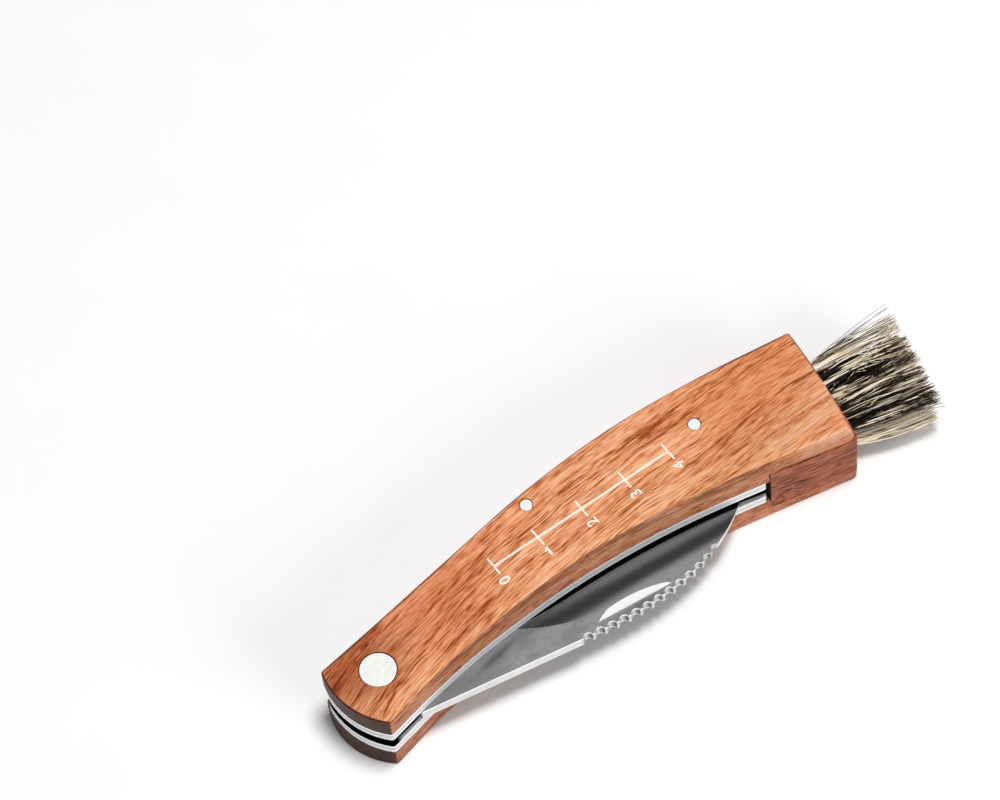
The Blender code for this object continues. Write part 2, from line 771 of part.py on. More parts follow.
def nick_cutter():
    """A thin tilted wheel: a steep wall towards the back, a floor that rises to the edge side."""
    radius = (NICK_LENGTH / 2) ** 2 / (2 * NICK_DEPTH)
    lean = atan(NICK_DEPTH / NICK_WIDTH)
    form = bmesh.new()
    bmesh.ops.create_cone(
        form, cap_ends=True, segments=NICK_STEPS, radius1=radius, radius2=radius, depth=GRIND_WIDTH)
    mesh = bpy.data.meshes.new("nick_wheel")
    form.to_mesh(mesh)
    form.free()
    wheel = place(bpy.data.objects.new("nick_wheel", mesh), cutters)
    turn = Matrix.Rotation(NICK_TILT, 4, "Z") @ Matrix.Rotation(-pi / 2 + lean, 4, "X")
    bottom = turn @ Vector((0.0, radius, -GRIND_WIDTH / 2))
    if bottom.z > 0:
        turn = Matrix.Rotation(NICK_TILT, 4, "Z") @ Matrix.Rotation(pi / 2 - lean, 4, "X")
        bottom = turn @ Vector((0.0, -radius, -GRIND_WIDTH / 2))
    target = Vector((NICK_ALONG, -NICK_DROP, BLADE_HIGH - NICK_DEPTH))
    wheel.matrix_local = Matrix.Translation(target - bottom) @ turn
    return wheel


def make_blade(material, shank):
    blade = plate("blade", blade_outline(), BLADE_LOW, BLADE_HIGH, material=material)
    for cutter in (grind_cutter("upper_grind", 1), grind_cutter("lower_grind", -1), nick_cutter(), shank):
        cut(blade, cutter)


def butt_frame():
    """Centre of the butt's end face, and the direction in which the brush points."""
    low = side_edge()[-1]
    high = back_edge()[-1]
    chord = (high - low).normalized()
    centre = (low + high) / 2 - chord * BRUSH_SIDE_SHIFT
    outward = Vector((chord.y, -chord.x))
    return centre + outward * BUTT_BULGE, outward


def tuft_places():
    """Three rows of tufts, the middle one staggered, as places across and up the butt's end."""
    places = []
    for row, count in enumerate(TUFTS_IN_ROWS):
        up = (row - (len(TUFTS_IN_ROWS) - 1) / 2) * TUFT_ROW_SPACING
        for column in range(count):
            places.append(((column - (count - 1) / 2) * TUFT_PITCH, up))
    return places


def face_matrix(across, up):
    """Local +Z out of the butt, local +Y across it to the back, local +X down."""
    centre, outward = butt_frame()
    sideways = Vector((-outward.y, outward.x))
    origin = centre + sideways * across
    turn = Matrix.Rotation(atan2(outward.y, outward.x), 4, "Z") @ Matrix.Rotation(pi / 2, 4, "Y")
    return Matrix.Translation((origin.x, origin.y, MIDDLE + up)) @ turn


def make_butt_block(material):
    """The block, keyed into both scales, with a hole and an anchor's groove for each tuft."""
    block = plate("butt_block", handle_outline(), BLOCK_LOW, BLOCK_HIGH, material=material)
    front = box(
        "block_front_cut",
        (-HANDLE_WIDTH, -HANDLE_WIDTH, -OVERRUN),
        (BLOCK_FRONT, HANDLE_WIDTH, HANDLE_THICKNESS + OVERRUN),
    )
    cut(block, front)
    groove_half = ANCHOR_WIDTH / 2 + ROUND_FIT
    groove_wall = ANCHOR_THICKNESS / 2 + ROUND_FIT
    for number, (across, up) in enumerate(tuft_places(), 1):
        frame = face_matrix(across, up)
        hole = cylinder(
            f"tuft_hole_{number}", (0.0, 0.0), TUFT_HOLE_DIAMETER / 2, -TUFT_HOLE_DEPTH, OVERRUN,
            frame=frame,
        )
        groove = box(
            f"anchor_groove_{number}",
            (-groove_half, -groove_wall, -TUFT_HOLE_DEPTH - ROUND_FIT),
            (groove_half, groove_wall, ROUND_FIT * 2 + ANCHOR_LENGTH - TUFT_HOLE_DEPTH),
            frame,
        )
        cut(block, hole)
        cut(block, groove)


def make_anchors(material):
    """A flat staple in each hole, driven into the wood with the tuft folded round it."""
    low = -TUFT_HOLE_DEPTH + LAYER_GAP
    for number, (across, up) in enumerate(tuft_places(), 1):
        box(
            f"tuft_anchor_{number:02d}",
            (-ANCHOR_WIDTH / 2, -ANCHOR_THICKNESS / 2, low),
            (ANCHOR_WIDTH / 2, ANCHOR_THICKNESS / 2, low + ANCHOR_LENGTH),
            face_matrix(across, up), parts, material,
        )


def make_tuft(number, across, up, material, random_source):
    """A tuft: its bound root fills the hole, and its strands stand out of the root's end."""
    radius = TUFT_HOLE_DIAMETER / 2 - ROUND_FIT
    bottom = -TUFT_HOLE_DEPTH + LAYER_GAP
    form = bmesh.new()
    bmesh.ops.create_circle(form, cap_ends=True, cap_tris=True, segments=6, radius=radius)
    bmesh.ops.subdivide_edges(form, edges=form.edges, cuts=1, use_grid_fill=True)
    for vert in form.verts:
        if vert.is_boundary:
            vert.co = vert.co.normalized() * radius
        else:
            shift = Vector((random_source.uniform(-1, 1), random_source.uniform(-1, 1), 0.0))
            vert.co += shift * STRAND_WANDER
        vert.co.z = -TUFT_SETBACK
    ends = list(form.faces)
    root = bmesh.ops.extrude_face_region(form, geom=ends, use_keep_orig=True)["geom"]
    for part in root:
        if isinstance(part, bmesh.types.BMVert):
            part.co.z = bottom
    bmesh.ops.inset_individual(form, faces=ends, thickness=STRAND_SPACE / 2, use_even_offset=True)
    for end in bmesh.ops.extrude_discrete_faces(form, faces=ends)["faces"]:
        middle = end.calc_center_median()
        wander = Vector((random_source.uniform(-1, 1), random_source.uniform(-1, 1), 0.0))
        tip = Vector((
            middle.x * (1 + BRUSH_FAN_THICK) - up * BRUSH_FAN_THICK,
            middle.y * (1 + BRUSH_FAN_WIDE) + across * BRUSH_FAN_WIDE - BRUSH_LEAN,
            BRUSH_REACH + (across + middle.y) * BRUSH_TIP_SLANT - STRAND_RAGGEDNESS * random_source.random(),
        ))
        for vert in end.verts:
            vert.co = tip + wander * STRAND_WANDER + (vert.co - middle) * STRAND_TIP_SHARE
    bmesh.ops.recalc_face_normals(form, faces=form.faces)
    mesh = bpy.data.meshes.new(f"brush_tuft_{number:02d}")
    form.to_mesh(mesh)
    form.free()
    tuft = place(bpy.data.objects.new(mesh.name, mesh), parts, material)
    tuft.matrix_local = face_matrix(across, up)
    slot_half = ANCHOR_THICKNESS / 2 + ROUND_FIT
    slot = box(
        f"anchor_slot_{number}",
        (-ANCHOR_WIDTH, -slot_half, -TUFT_HOLE_DEPTH - OVERRUN),
        (ANCHOR_WIDTH, slot_half, bottom + ANCHOR_LENGTH + LAYER_GAP),
        face_matrix(across, up),
    )
    cut(tuft, slot)


def make_brush(material):
    random_source = random.Random(STRAND_SEED)
    for number, (across, up) in enumerate(tuft_places(), 1):
        make_tuft(number, across, up, material, random_source)


def centre_on_origin():
    """Moves the datum so that the closed knife's box stands centred on the origin."""
    bpy.context.view_layer.update()
    depsgraph = bpy.context.evaluated_depsgraph_get()
    corners = []
    for thing in parts.objects:
        if thing.type == "MESH":
            solid = thing.evaluated_get(depsgraph)
            corners += [solid.matrix_world @ vertex.co for vertex in solid.data.vertices]
    for axis in (0, 1):
        values = [corner[axis] for corner in corners]
        datum.location[axis] = -(min(values) + max(values)) / 2


def main():
    clear_scene()
    make_collections()
    wood = make_material("scale_wood", (0.62, 0.27, 0.11), 0.45, 0.0)
    block_wood = make_material("block_wood", (0.42, 0.17, 0.10), 0.5, 0.0)
    liner_steel = make_material("liner_steel", (0.80, 0.80, 0.79), 0.3, 1.0)
    blade_steel = make_material("blade_steel", (0.52, 0.52, 0.53), 0.35, 1.0)
    rivet_steel = make_material("rivet_steel", (0.88, 0.88, 0.87), 0.45, 1.0)
    washer_brass = make_material("washer_brass", (0.78, 0.60, 0.30), 0.4, 1.0)
    bristle = make_material("bristle", (0.60, 0.52, 0.38), 0.7, 0.0)

    shank, heads, holes, block_space = make_handle_cutters()
    make_upper_scale(wood, shank, heads, holes, block_space)
    make_lower_scale(wood, shank, heads, holes, block_space)
    make_liners(liner_steel, shank, holes)
    make_rivet(rivet_steel)
    make_washers(washer_brass)
    make_pins(rivet_steel)
    make_backspring(liner_steel, holes)
    make_blade(blade_steel, shank)
    make_butt_block(block_wood)
    make_anchors(liner_steel)
    make_brush(bristle)
    centre_on_origin()


main()
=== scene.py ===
import json
import random
from math import atan2, cos, pi, radians, sin, sqrt

import bmesh
import bpy
from mathutils import Matrix, Vector


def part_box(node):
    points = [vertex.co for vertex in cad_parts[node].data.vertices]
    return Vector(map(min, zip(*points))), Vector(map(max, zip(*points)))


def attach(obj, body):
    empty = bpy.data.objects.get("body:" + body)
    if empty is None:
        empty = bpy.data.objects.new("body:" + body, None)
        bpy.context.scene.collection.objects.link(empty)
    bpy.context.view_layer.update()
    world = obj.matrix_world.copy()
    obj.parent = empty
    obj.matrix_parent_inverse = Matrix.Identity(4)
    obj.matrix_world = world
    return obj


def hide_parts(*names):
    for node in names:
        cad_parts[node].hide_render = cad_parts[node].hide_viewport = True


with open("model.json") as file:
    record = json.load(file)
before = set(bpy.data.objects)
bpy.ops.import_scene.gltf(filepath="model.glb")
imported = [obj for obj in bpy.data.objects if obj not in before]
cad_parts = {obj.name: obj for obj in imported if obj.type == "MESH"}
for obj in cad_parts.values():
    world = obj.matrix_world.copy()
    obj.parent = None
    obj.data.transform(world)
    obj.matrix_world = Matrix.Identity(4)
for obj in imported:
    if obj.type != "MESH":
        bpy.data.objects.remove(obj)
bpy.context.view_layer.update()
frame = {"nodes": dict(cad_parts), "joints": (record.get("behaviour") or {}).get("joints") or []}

# Where things are, in metres, from the pivot axis: +X to the brush, +Y to the handle's back
PIVOT = Vector((*frame["joints"][0]["pos_m"][:2], 0.0))
SCALE_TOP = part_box("upper_scale")[1].z
BLADE_FOOT, BLADE_TOP = (corner.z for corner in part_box("blade"))
MIDDLE = SCALE_TOP / 2
MILLIMETRES = 1000.0
# Where the file-cut scallops of the blade's back start and end, in millimetres along
SCALLOPS_ALONG = (34.9, 66.5)
# The blade's hollow grind in millimetres: a place on the line where it starts and that line's
# tilt, and where its plunge towards the pivot begins, how long it is and how far it curves in
HOLLOW_AT = (45.0, -12.05)
HOLLOW_TILT = radians(10.0)
PLUNGE_FROM = 38.6
PLUNGE_LENGTH = 13.6
PLUNGE_DEPTH = 4.46
# The middle of the hollow's dark band, a painted reflection of dark surroundings: how far inside
# that line it runs, and where along it starts to drift away and how fast
BAND_INSIDE = 1.5
BAND_DRIFT_FROM = 32.0
BAND_DRIFT = 0.095
# Patches on the blade: along, across, angle, half length and half width in millimetres and degrees
NAIL_NICK = (46.6, -14.3, -5.9, 8.0, 1.8)
# Patches of painted shade on the flats, each with its colour
SHADE_PATCHES = (
    ((20.5, -7.9, 10, 4.5, 0.75), (84, 85, 86)),
    ((48.5, -15.5, -6, 7.0, 0.6), (98, 99, 100)),
)
# How far the upper liner's faces lie from the handle's middle, in millimetres
LINER_INSIDE = (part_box("upper_liner")[0].z - MIDDLE) * MILLIMETRES
LINER_OUTSIDE = (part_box("upper_liner")[1].z - MIDDLE) * MILLIMETRES
# How wide the painted highlight along a liner's cut edges is, in millimetres
EDGE_GLINT_WIDTH = 0.45

# Printed rule on the upper scale
RULE_START = Vector((0.02924, 0.00453))
RULE_STEP = 0.0100
RULE_STEPS = 4
RULE_WIDTH = 0.00043
STROKE_LENGTH = 0.0041
STROKE_WIDTH = 0.00036
DIGIT_OFFSET = 0.00362
DIGIT_HEIGHT = 0.00225
DIGIT_BOLDNESS = 0.00006
# A digit's height as a share of the lettering's size
DIGIT_SHARE = 0.73
INK_THICKNESS = 0.00002

# The handle's edges: where they start and end along, how far they rise or drop, and their
# shape as shares of both
BACK_ALONG = (-0.0086, 0.1029)
BACK_RISE = 0.0154
BACK_SHARES = (
    (0.0, 0.393), (0.132, 0.539), (0.298, 0.737), (0.466, 0.925),
    (0.644, 1.0), (0.822, 0.921), (1.0, 0.753),
)
SIDE_ALONG = (-0.0046, 0.0996)
SIDE_DROP = 0.0144
SIDE_SHARES = (
    (0.0, 0.729), (0.121, 0.542), (0.248, 0.4125), (0.426, 0.355),
    (0.605, 0.432), (0.781, 0.639), (1.0, 1.0),
)

# Brush: the same holes and the same fan as the solids have
BUTT_LOW = Vector((0.0996, -0.0144))
BUTT_HIGH = Vector((0.1029, 0.0116))
BUTT_BULGE = 0.0006
BRUSH_SIDE_SHIFT = 0.0006
TUFTS_IN_ROWS = (5, 4, 5)
TUFT_PITCH = 0.0036
TUFT_ROW_SPACING = 0.0026
TUFT_RADIUS = 0.0012
TUFT_DEPTH = 0.0070
BRUSH_REACH = 0.0190
BRUSH_TIP_SLANT = 0.09
BRUSH_FAN_WIDE = 0.13
BRUSH_FAN_THICK = 0.30
BRUSH_LEAN = 0.0013
BRISTLES_PER_TUFT = 76
BRISTLE_RADIUS = 0.000118
BRISTLE_STEPS = 8
STRAY_STEPS = 11
LOCKS_PER_TUFT = 6
TIP_SPREAD = 1.7
RAGGEDNESS = 0.0006
# From one hair to the next, the share of a full turn about the tuft's middle
HAIR_TURN = 0.618034
# Where locks and loose hairs start, as shares of a tuft's radius, how unevenly the locks are
# turned, and how far a lock pulls its hairs
LOCK_REACH = 0.7
STRAY_REACH = 0.8
LOCK_TURN = 0.4
LOCK_PULL = 0.4
# How widely locks and hairs vary, up and across
LOCK_BOWS = (0.00025, 0.00030)
HAIR_TIPS = (0.0003, 0.00045)
HAIR_BOWS = (0.00015, 0.00018)
HAIR_WAVES = (0.00010, 0.00012)
# The share of hairs that leave their lock, and how far their tips go
WILD_SHARE = 0.08
WILD_UP = 0.0004
WILD_ACROSS = 0.0016
# A hair's width: the least and most, what is lost towards its tip, and what loose ones have
HAIR_WIDTHS = (0.6, 1.1)
TIP_THINNING = 0.45
STRAY_THINNESS = 0.5
CROSSING_THINNESS = 0.75
SEED = 7

# Floor and light
FLOOR_HALF = 1.5
FLOOR_DROP = 0.0001
SURROUND_LIGHT = 0.27
# Each lamp's name, place, size in metres, power in watts, and whether it mirrors in the steel
LAMPS = (
    ("key", Vector((0.12, -0.06, 1.08)), 0.28, 8.1, False),
    ("fill", Vector((0.20, -0.90, 0.42)), 0.50, 3.5, True),
)

# Camera, aimed at a point in the upper scale's top plane; the lens is in millimetres
AIM = Vector((0.05107, 0.03301, 0.0158))
CAMERA_DISTANCE = 0.847
CAMERA_AZIMUTH = radians(-29.29)
CAMERA_ELEVATION = radians(58.24)
CAMERA_ROLL = radians(-7.47)
CAMERA_LENS = 162.0
CAMERA_SENSOR = 36.0
CAMERA_NEAR = 0.01


def rgb(red, green, blue):
    """A colour as it shows on a screen, turned into the linear values of a shader."""
    def linear(channel):
        share = channel / 255
        return share / 12.92 if share <= 0.04045 else ((share + 0.055) / 1.055) ** 2.4

    return (linear(red), linear(green), linear(blue), 1.0)


class Value:
    """Something that varies over a surface; arithmetic on it adds Math nodes to its finish."""

    def __init__(self, finish, socket):
        self.finish = finish
        self.socket = socket

    def math(self, operation, *others):
        inputs = dict(enumerate((self, *others)))
        return self.finish.node("ShaderNodeMath", {"operation": operation}, inputs)

    def __add__(self, other):
        return self.math("ADD", other)

    def __sub__(self, other):
        return self.math("SUBTRACT", other)

    def __rsub__(self, other):
        return self.finish.node("ShaderNodeMath", {"operation": "SUBTRACT"}, {0: other, 1: self})

    def __mul__(self, other):
        return self.math("MULTIPLY", other)

    def __truediv__(self, other):
        return self.math("DIVIDE", other)

    def __neg__(self):
        return self.math("MULTIPLY", -1.0)

    def __abs__(self):
        return self.math("ABSOLUTE")

    __radd__ = __add__
    __rmul__ = __mul__

    def rising(self, low, high):
        """Goes smoothly from 0 at low to 1 at high."""
        return self.finish.node(
            "ShaderNodeMapRange",
            {"interpolation_type": "SMOOTHSTEP"},
            {"Value": self, "From Min": low, "From Max": high},
        )

    def falling(self, low, high):
        """Goes smoothly from 1 at low to 0 at high."""
        return 1 - self.rising(low, high)

    def within(self, low, high, soft):
        """1 between low and high, with soft ends."""
        return self.rising(low - soft, low + soft) * self.falling(high - soft, high + soft)


# Sockets of a Mix node set to colours
MIX_SHARE, MIX_FIRST, MIX_SECOND, MIX_RESULT = 0, 6, 7, 2


class Finish:
    """A material and the nodes that give it its look."""

    def __init__(self, name, roughness, metallic=0.0, **constants):
        self.material = bpy.data.materials.new(name)
        self.material.use_nodes = True
        self.tree = self.material.node_tree
        self.shader = self.tree.nodes["Principled BSDF"]
        self.shader.inputs["Roughness"].default_value = roughness
        self.shader.inputs["Metallic"].default_value = metallic
        for socket, value in constants.items():
            self.shader.inputs[socket.replace("_", " ")].default_value = value

    def node(self, kind, settings=None, inputs=None, output=0):
        """One node, with its settings, then its inputs; gives one of its outputs."""
        made = self.tree.nodes.new(kind)
        for setting, value in (settings or {}).items():
            if setting == "stops":
                ramp = made.color_ramp
                ramp.elements.remove(ramp.elements[-1])
                ramp.elements[0].position, ramp.elements[0].color = value[0]
                for position, colour in value[1:]:
                    ramp.elements.new(position).color = colour
            else:
                setattr(made, setting, value)
        for socket, value in (inputs or {}).items():
            if isinstance(value, Value):
                self.tree.links.new(value.socket, made.inputs[socket])
            else:
                made.inputs[socket].default_value = value
        return Value(self, made.outputs[output])

    def feed(self, **inputs):
        """Links values to the shader's sockets."""
        for socket, value in inputs.items():
            self.tree.links.new(value.socket, self.shader.inputs[socket.replace("_", " ")])

    def place(self):
        """The place on the piece in millimetres from the pivot axis, moving with the piece."""
        at = self.node("ShaderNodeTexCoord", output="Object")
        return self.node(
            "ShaderNodeVectorMath",
            {"operation": "MULTIPLY_ADD"},
            {0: at, 1: (MILLIMETRES,) * 3, 2: -PIVOT * MILLIMETRES},
        )

    def facing(self):
        """The three parts of the surface's direction, on the piece."""
        return self.parts(self.node("ShaderNodeTexCoord", output="Normal"))

    def parts(self, vector):
        split = self.node("ShaderNodeSeparateXYZ", inputs={0: vector})
        return [Value(self, socket) for socket in split.socket.node.outputs]

    def joined(self, x, y, z):
        return self.node("ShaderNodeCombineXYZ", inputs={0: x, 1: y, 2: z})

    def stretched(self, vector, factors, shift=(0.0, 0.0, 0.0)):
        inputs = {0: vector, 1: factors, 2: shift}
        return self.node("ShaderNodeVectorMath", {"operation": "MULTIPLY_ADD"}, inputs)

    def noise(self, vector, detail, roughness=0.5):
        return self.node("ShaderNodeTexNoise", inputs={
            "Vector": vector, "Scale": 1.0, "Detail": detail, "Roughness": roughness,
        })

    def spot(self, place, along, across, angle, half_length, half_width):
        """1 in the middle of a long patch, fading to 0 past its rim."""
        local = self.node("ShaderNodeMapping", {"vector_type": "TEXTURE"}, {
            "Vector": place,
            "Location": (along, across, 0.0),
            "Rotation": (0.0, 0.0, radians(angle)),
            "Scale": (half_length, half_width, 1000.0),
        })
        reach = self.node("ShaderNodeVectorMath", {"operation": "LENGTH"}, {0: local}, "Value")
        return reach.falling(0.2, 1.5)

    def edge(self, along, ends, height, shares):
        """How far across one of the handle's edges lies, in millimetres, by the place along it."""
        share = (along - ends[0] * MILLIMETRES) / ((ends[1] - ends[0]) * MILLIMETRES)
        curve = self.node("ShaderNodeValToRGB", {
            "stops": tuple((position, (value, value, value, 1.0)) for position, value in shares),
        }, {0: share})
        curve.socket.node.color_ramp.interpolation = "CARDINAL"
        return curve * height * MILLIMETRES

    def from_back(self, along, across):
        """How far inside the back edge a place lies."""
        return self.edge(along, BACK_ALONG, BACK_RISE, BACK_SHARES) - across

    def from_side(self, along, across):
        """How far inside the blade-side edge a place lies."""
        return across + self.edge(along, SIDE_ALONG, SIDE_DROP, SIDE_SHARES)

    def ramp(self, value, *stops):
        return self.node("ShaderNodeValToRGB", {"stops": stops}, {0: value})

    def mix(self, share, first, second, blend="MIX"):
        """Mixes two colours by a share."""
        return self.node(
            "ShaderNodeMix",
            {"data_type": "RGBA", "blend_type": blend},
            {MIX_SHARE: share, MIX_FIRST: first, MIX_SECOND: second}, MIX_RESULT,
        )

    def shaded(self, colour, value):
        """A colour times a grey value."""
        grey = self.node("ShaderNodeCombineColor", inputs={0: value, 1: value, 2: value})
        return self.mix(1.0, colour, grey, "MULTIPLY")

    def bump(self, height, distance, strength):
        inputs = {"Strength": strength, "Distance": distance, "Height": height}
        return self.node("ShaderNodeBump", inputs=inputs)


# Finishes

# How far along the handle the fibres' lean fades, in millimetres
LEAN_FADES = 45.0
# Patches in the upper scale's wood: along, across, angle, half length, half width in millimetres
# and degrees, and strength, below zero where the patch is light
UPPER_PATCHES = (
    (-8.0, 1.5, 15, 1.5, 0.5, 1.0), (-5.5, 2.8, 20, 2.0, 0.4, 0.5),
    (1.0, 5.3, 20, 4.0, 1.2, 0.4), (-7.5, 3.8, 5, 3.0, 0.4, 0.4),
    (-2.3, -7.1, 31, 4.2, 0.3, 0.6), (2.5, -4.9, 15, 2.5, 0.35, 0.5),
    (14.2, -4.3, 12, 2.5, 0.7, 0.6), (19.4, -2.8, 18, 4.0, 0.8, 0.5),
    (23.5, -1.4, 5, 2.2, 0.5, 0.5), (13.5, -1.2, 8, 4.0, 1.2, -0.3),
    (23.0, 1.0, 6, 5.0, 0.8, -0.2), (31.5, 10.3, 4, 3.0, 0.5, 0.5),
    (45.1, 3.5, 4, 1.6, 0.3, 0.8), (34.5, 0.8, 6, 2.6, 0.35, 0.8),
    (64.5, 6.5, 2, 2.2, 0.5, 0.7), (68.0, 9.8, -5, 5.0, 0.8, 0.5),
    (60.0, 10.7, 5, 5.0, 0.4, 0.4), (66.0, -2.2, 0, 7.0, 2.5, -0.25),
    (50.0, 12.0, 3, 5.0, 0.5, -0.3), (37.0, -2.0, 7, 6.0, 1.2, -0.25),
    (81.5, 0.3, 17, 4.5, 0.4, 0.8), (88.0, 2.3, 5, 3.5, 0.4, 0.7),
    (97.6, 2.0, -1, 4.5, 0.5, 1.0), (80.0, -3.4, 0, 2.5, 0.35, 0.6),
    (72.0, 10.5, 3, 4.0, 0.6, 0.6), (96.0, 8.7, -2, 5.0, 0.35, 0.4),
    (90.0, -6.5, -4, 9.0, 2.8, -0.25), (96.5, -0.5, 0, 4.0, 1.0, 0.35),
    # The light patch at 93.4 along is a painted highlight where the ridge rounds off near the butt
    (87.0, -2.0, -3, 3.0, 0.5, 0.35), (93.4, -11.1, -11, 6.0, 0.8, -0.6),
)
# Tinted regions: along, across, angle, half length, half width, and the tint at full strength
UPPER_TINTS = (
    (-4.0, 2.0, 10, 11.0, 8.0, (190, 156, 136)),
    (15.0, 2.0, 8, 13.0, 7.0, (232, 208, 196)),
    (20.0, 8.0, 8, 24.0, 3.0, (246, 228, 220)),
    (90.0, 7.5, -4, 20.0, 7.0, (237, 223, 208)),
    (90.0, -4.0, -4, 18.0, 6.0, (240, 236, 234)),
    (78.0, -5.0, -6, 26.0, 5.0, (250, 255, 255)),
    (95.0, -8.5, -8, 9.0, 2.2, (255, 250, 250)),
)


class Wood:
    """What sets one wooden piece apart from the others.

    From the darkest shade to the lightest; how steeply the fibres lean at the pivot; patches and
    tints; contrast; the colour of the dark dashes, how strong they are and from what noise level;
    the painted shade tint of the blade's side; the end grain's colour, darkened partly as painted
    shade; the painted shade along the rim; how dark the line under the ridge is; how fast the
    figure changes upwards and along; and how much calmer it is at the butt.
    """

    def __init__(self, shades, slope=0.0, patches=(), tints=(), contrast=1.0,
                 dash=(120, 52, 22), dash_share=0.7, dash_from=0.59, side=(204, 196, 196),
                 side_share=0.0, nose=(62, 35, 29), rim=(90, 50, 30), rim_share=0.0,
                 ridge_shadow=0.0, layers=0.7, run=1.0, calm=0.0):
        self.shades = shades
        self.slope = slope
        self.patches = patches
        self.tints = tints
        self.contrast = contrast
        self.dash = dash
        self.dash_share = dash_share
        self.dash_from = dash_from
        self.side = side
        self.side_share = side_share
        self.nose = nose
        self.rim = rim
        self.rim_share = rim_share
        self.ridge_shadow = ridge_shadow
        self.layers = layers
        self.run = run
        self.calm = calm


UPPER_WOOD = Wood(
    shades=((136, 62, 28), (204, 120, 73), (229, 156, 110), (238, 174, 132), (247, 194, 158)),
    slope=0.33, patches=UPPER_PATCHES, tints=UPPER_TINTS, side_share=0.95, rim_share=0.9,
    ridge_shadow=0.85, calm=0.2,
)
LOWER_WOOD = Wood(
    shades=((94, 48, 28), (136, 76, 50), (168, 102, 72), (190, 124, 92), (210, 146, 112)),
    slope=0.12, contrast=0.9,
    nose=(54, 31, 23), rim=(70, 40, 26), rim_share=0.6,
)
BLOCK_WOOD = Wood(
    shades=((100, 44, 26), (130, 66, 42), (160, 88, 60), (177, 102, 72), (198, 124, 91)),
    contrast=0.9, dash=(70, 24, 14), dash_share=0.95, dash_from=0.54,
    nose=(26, 14, 10), layers=0.55, run=0.6,
)


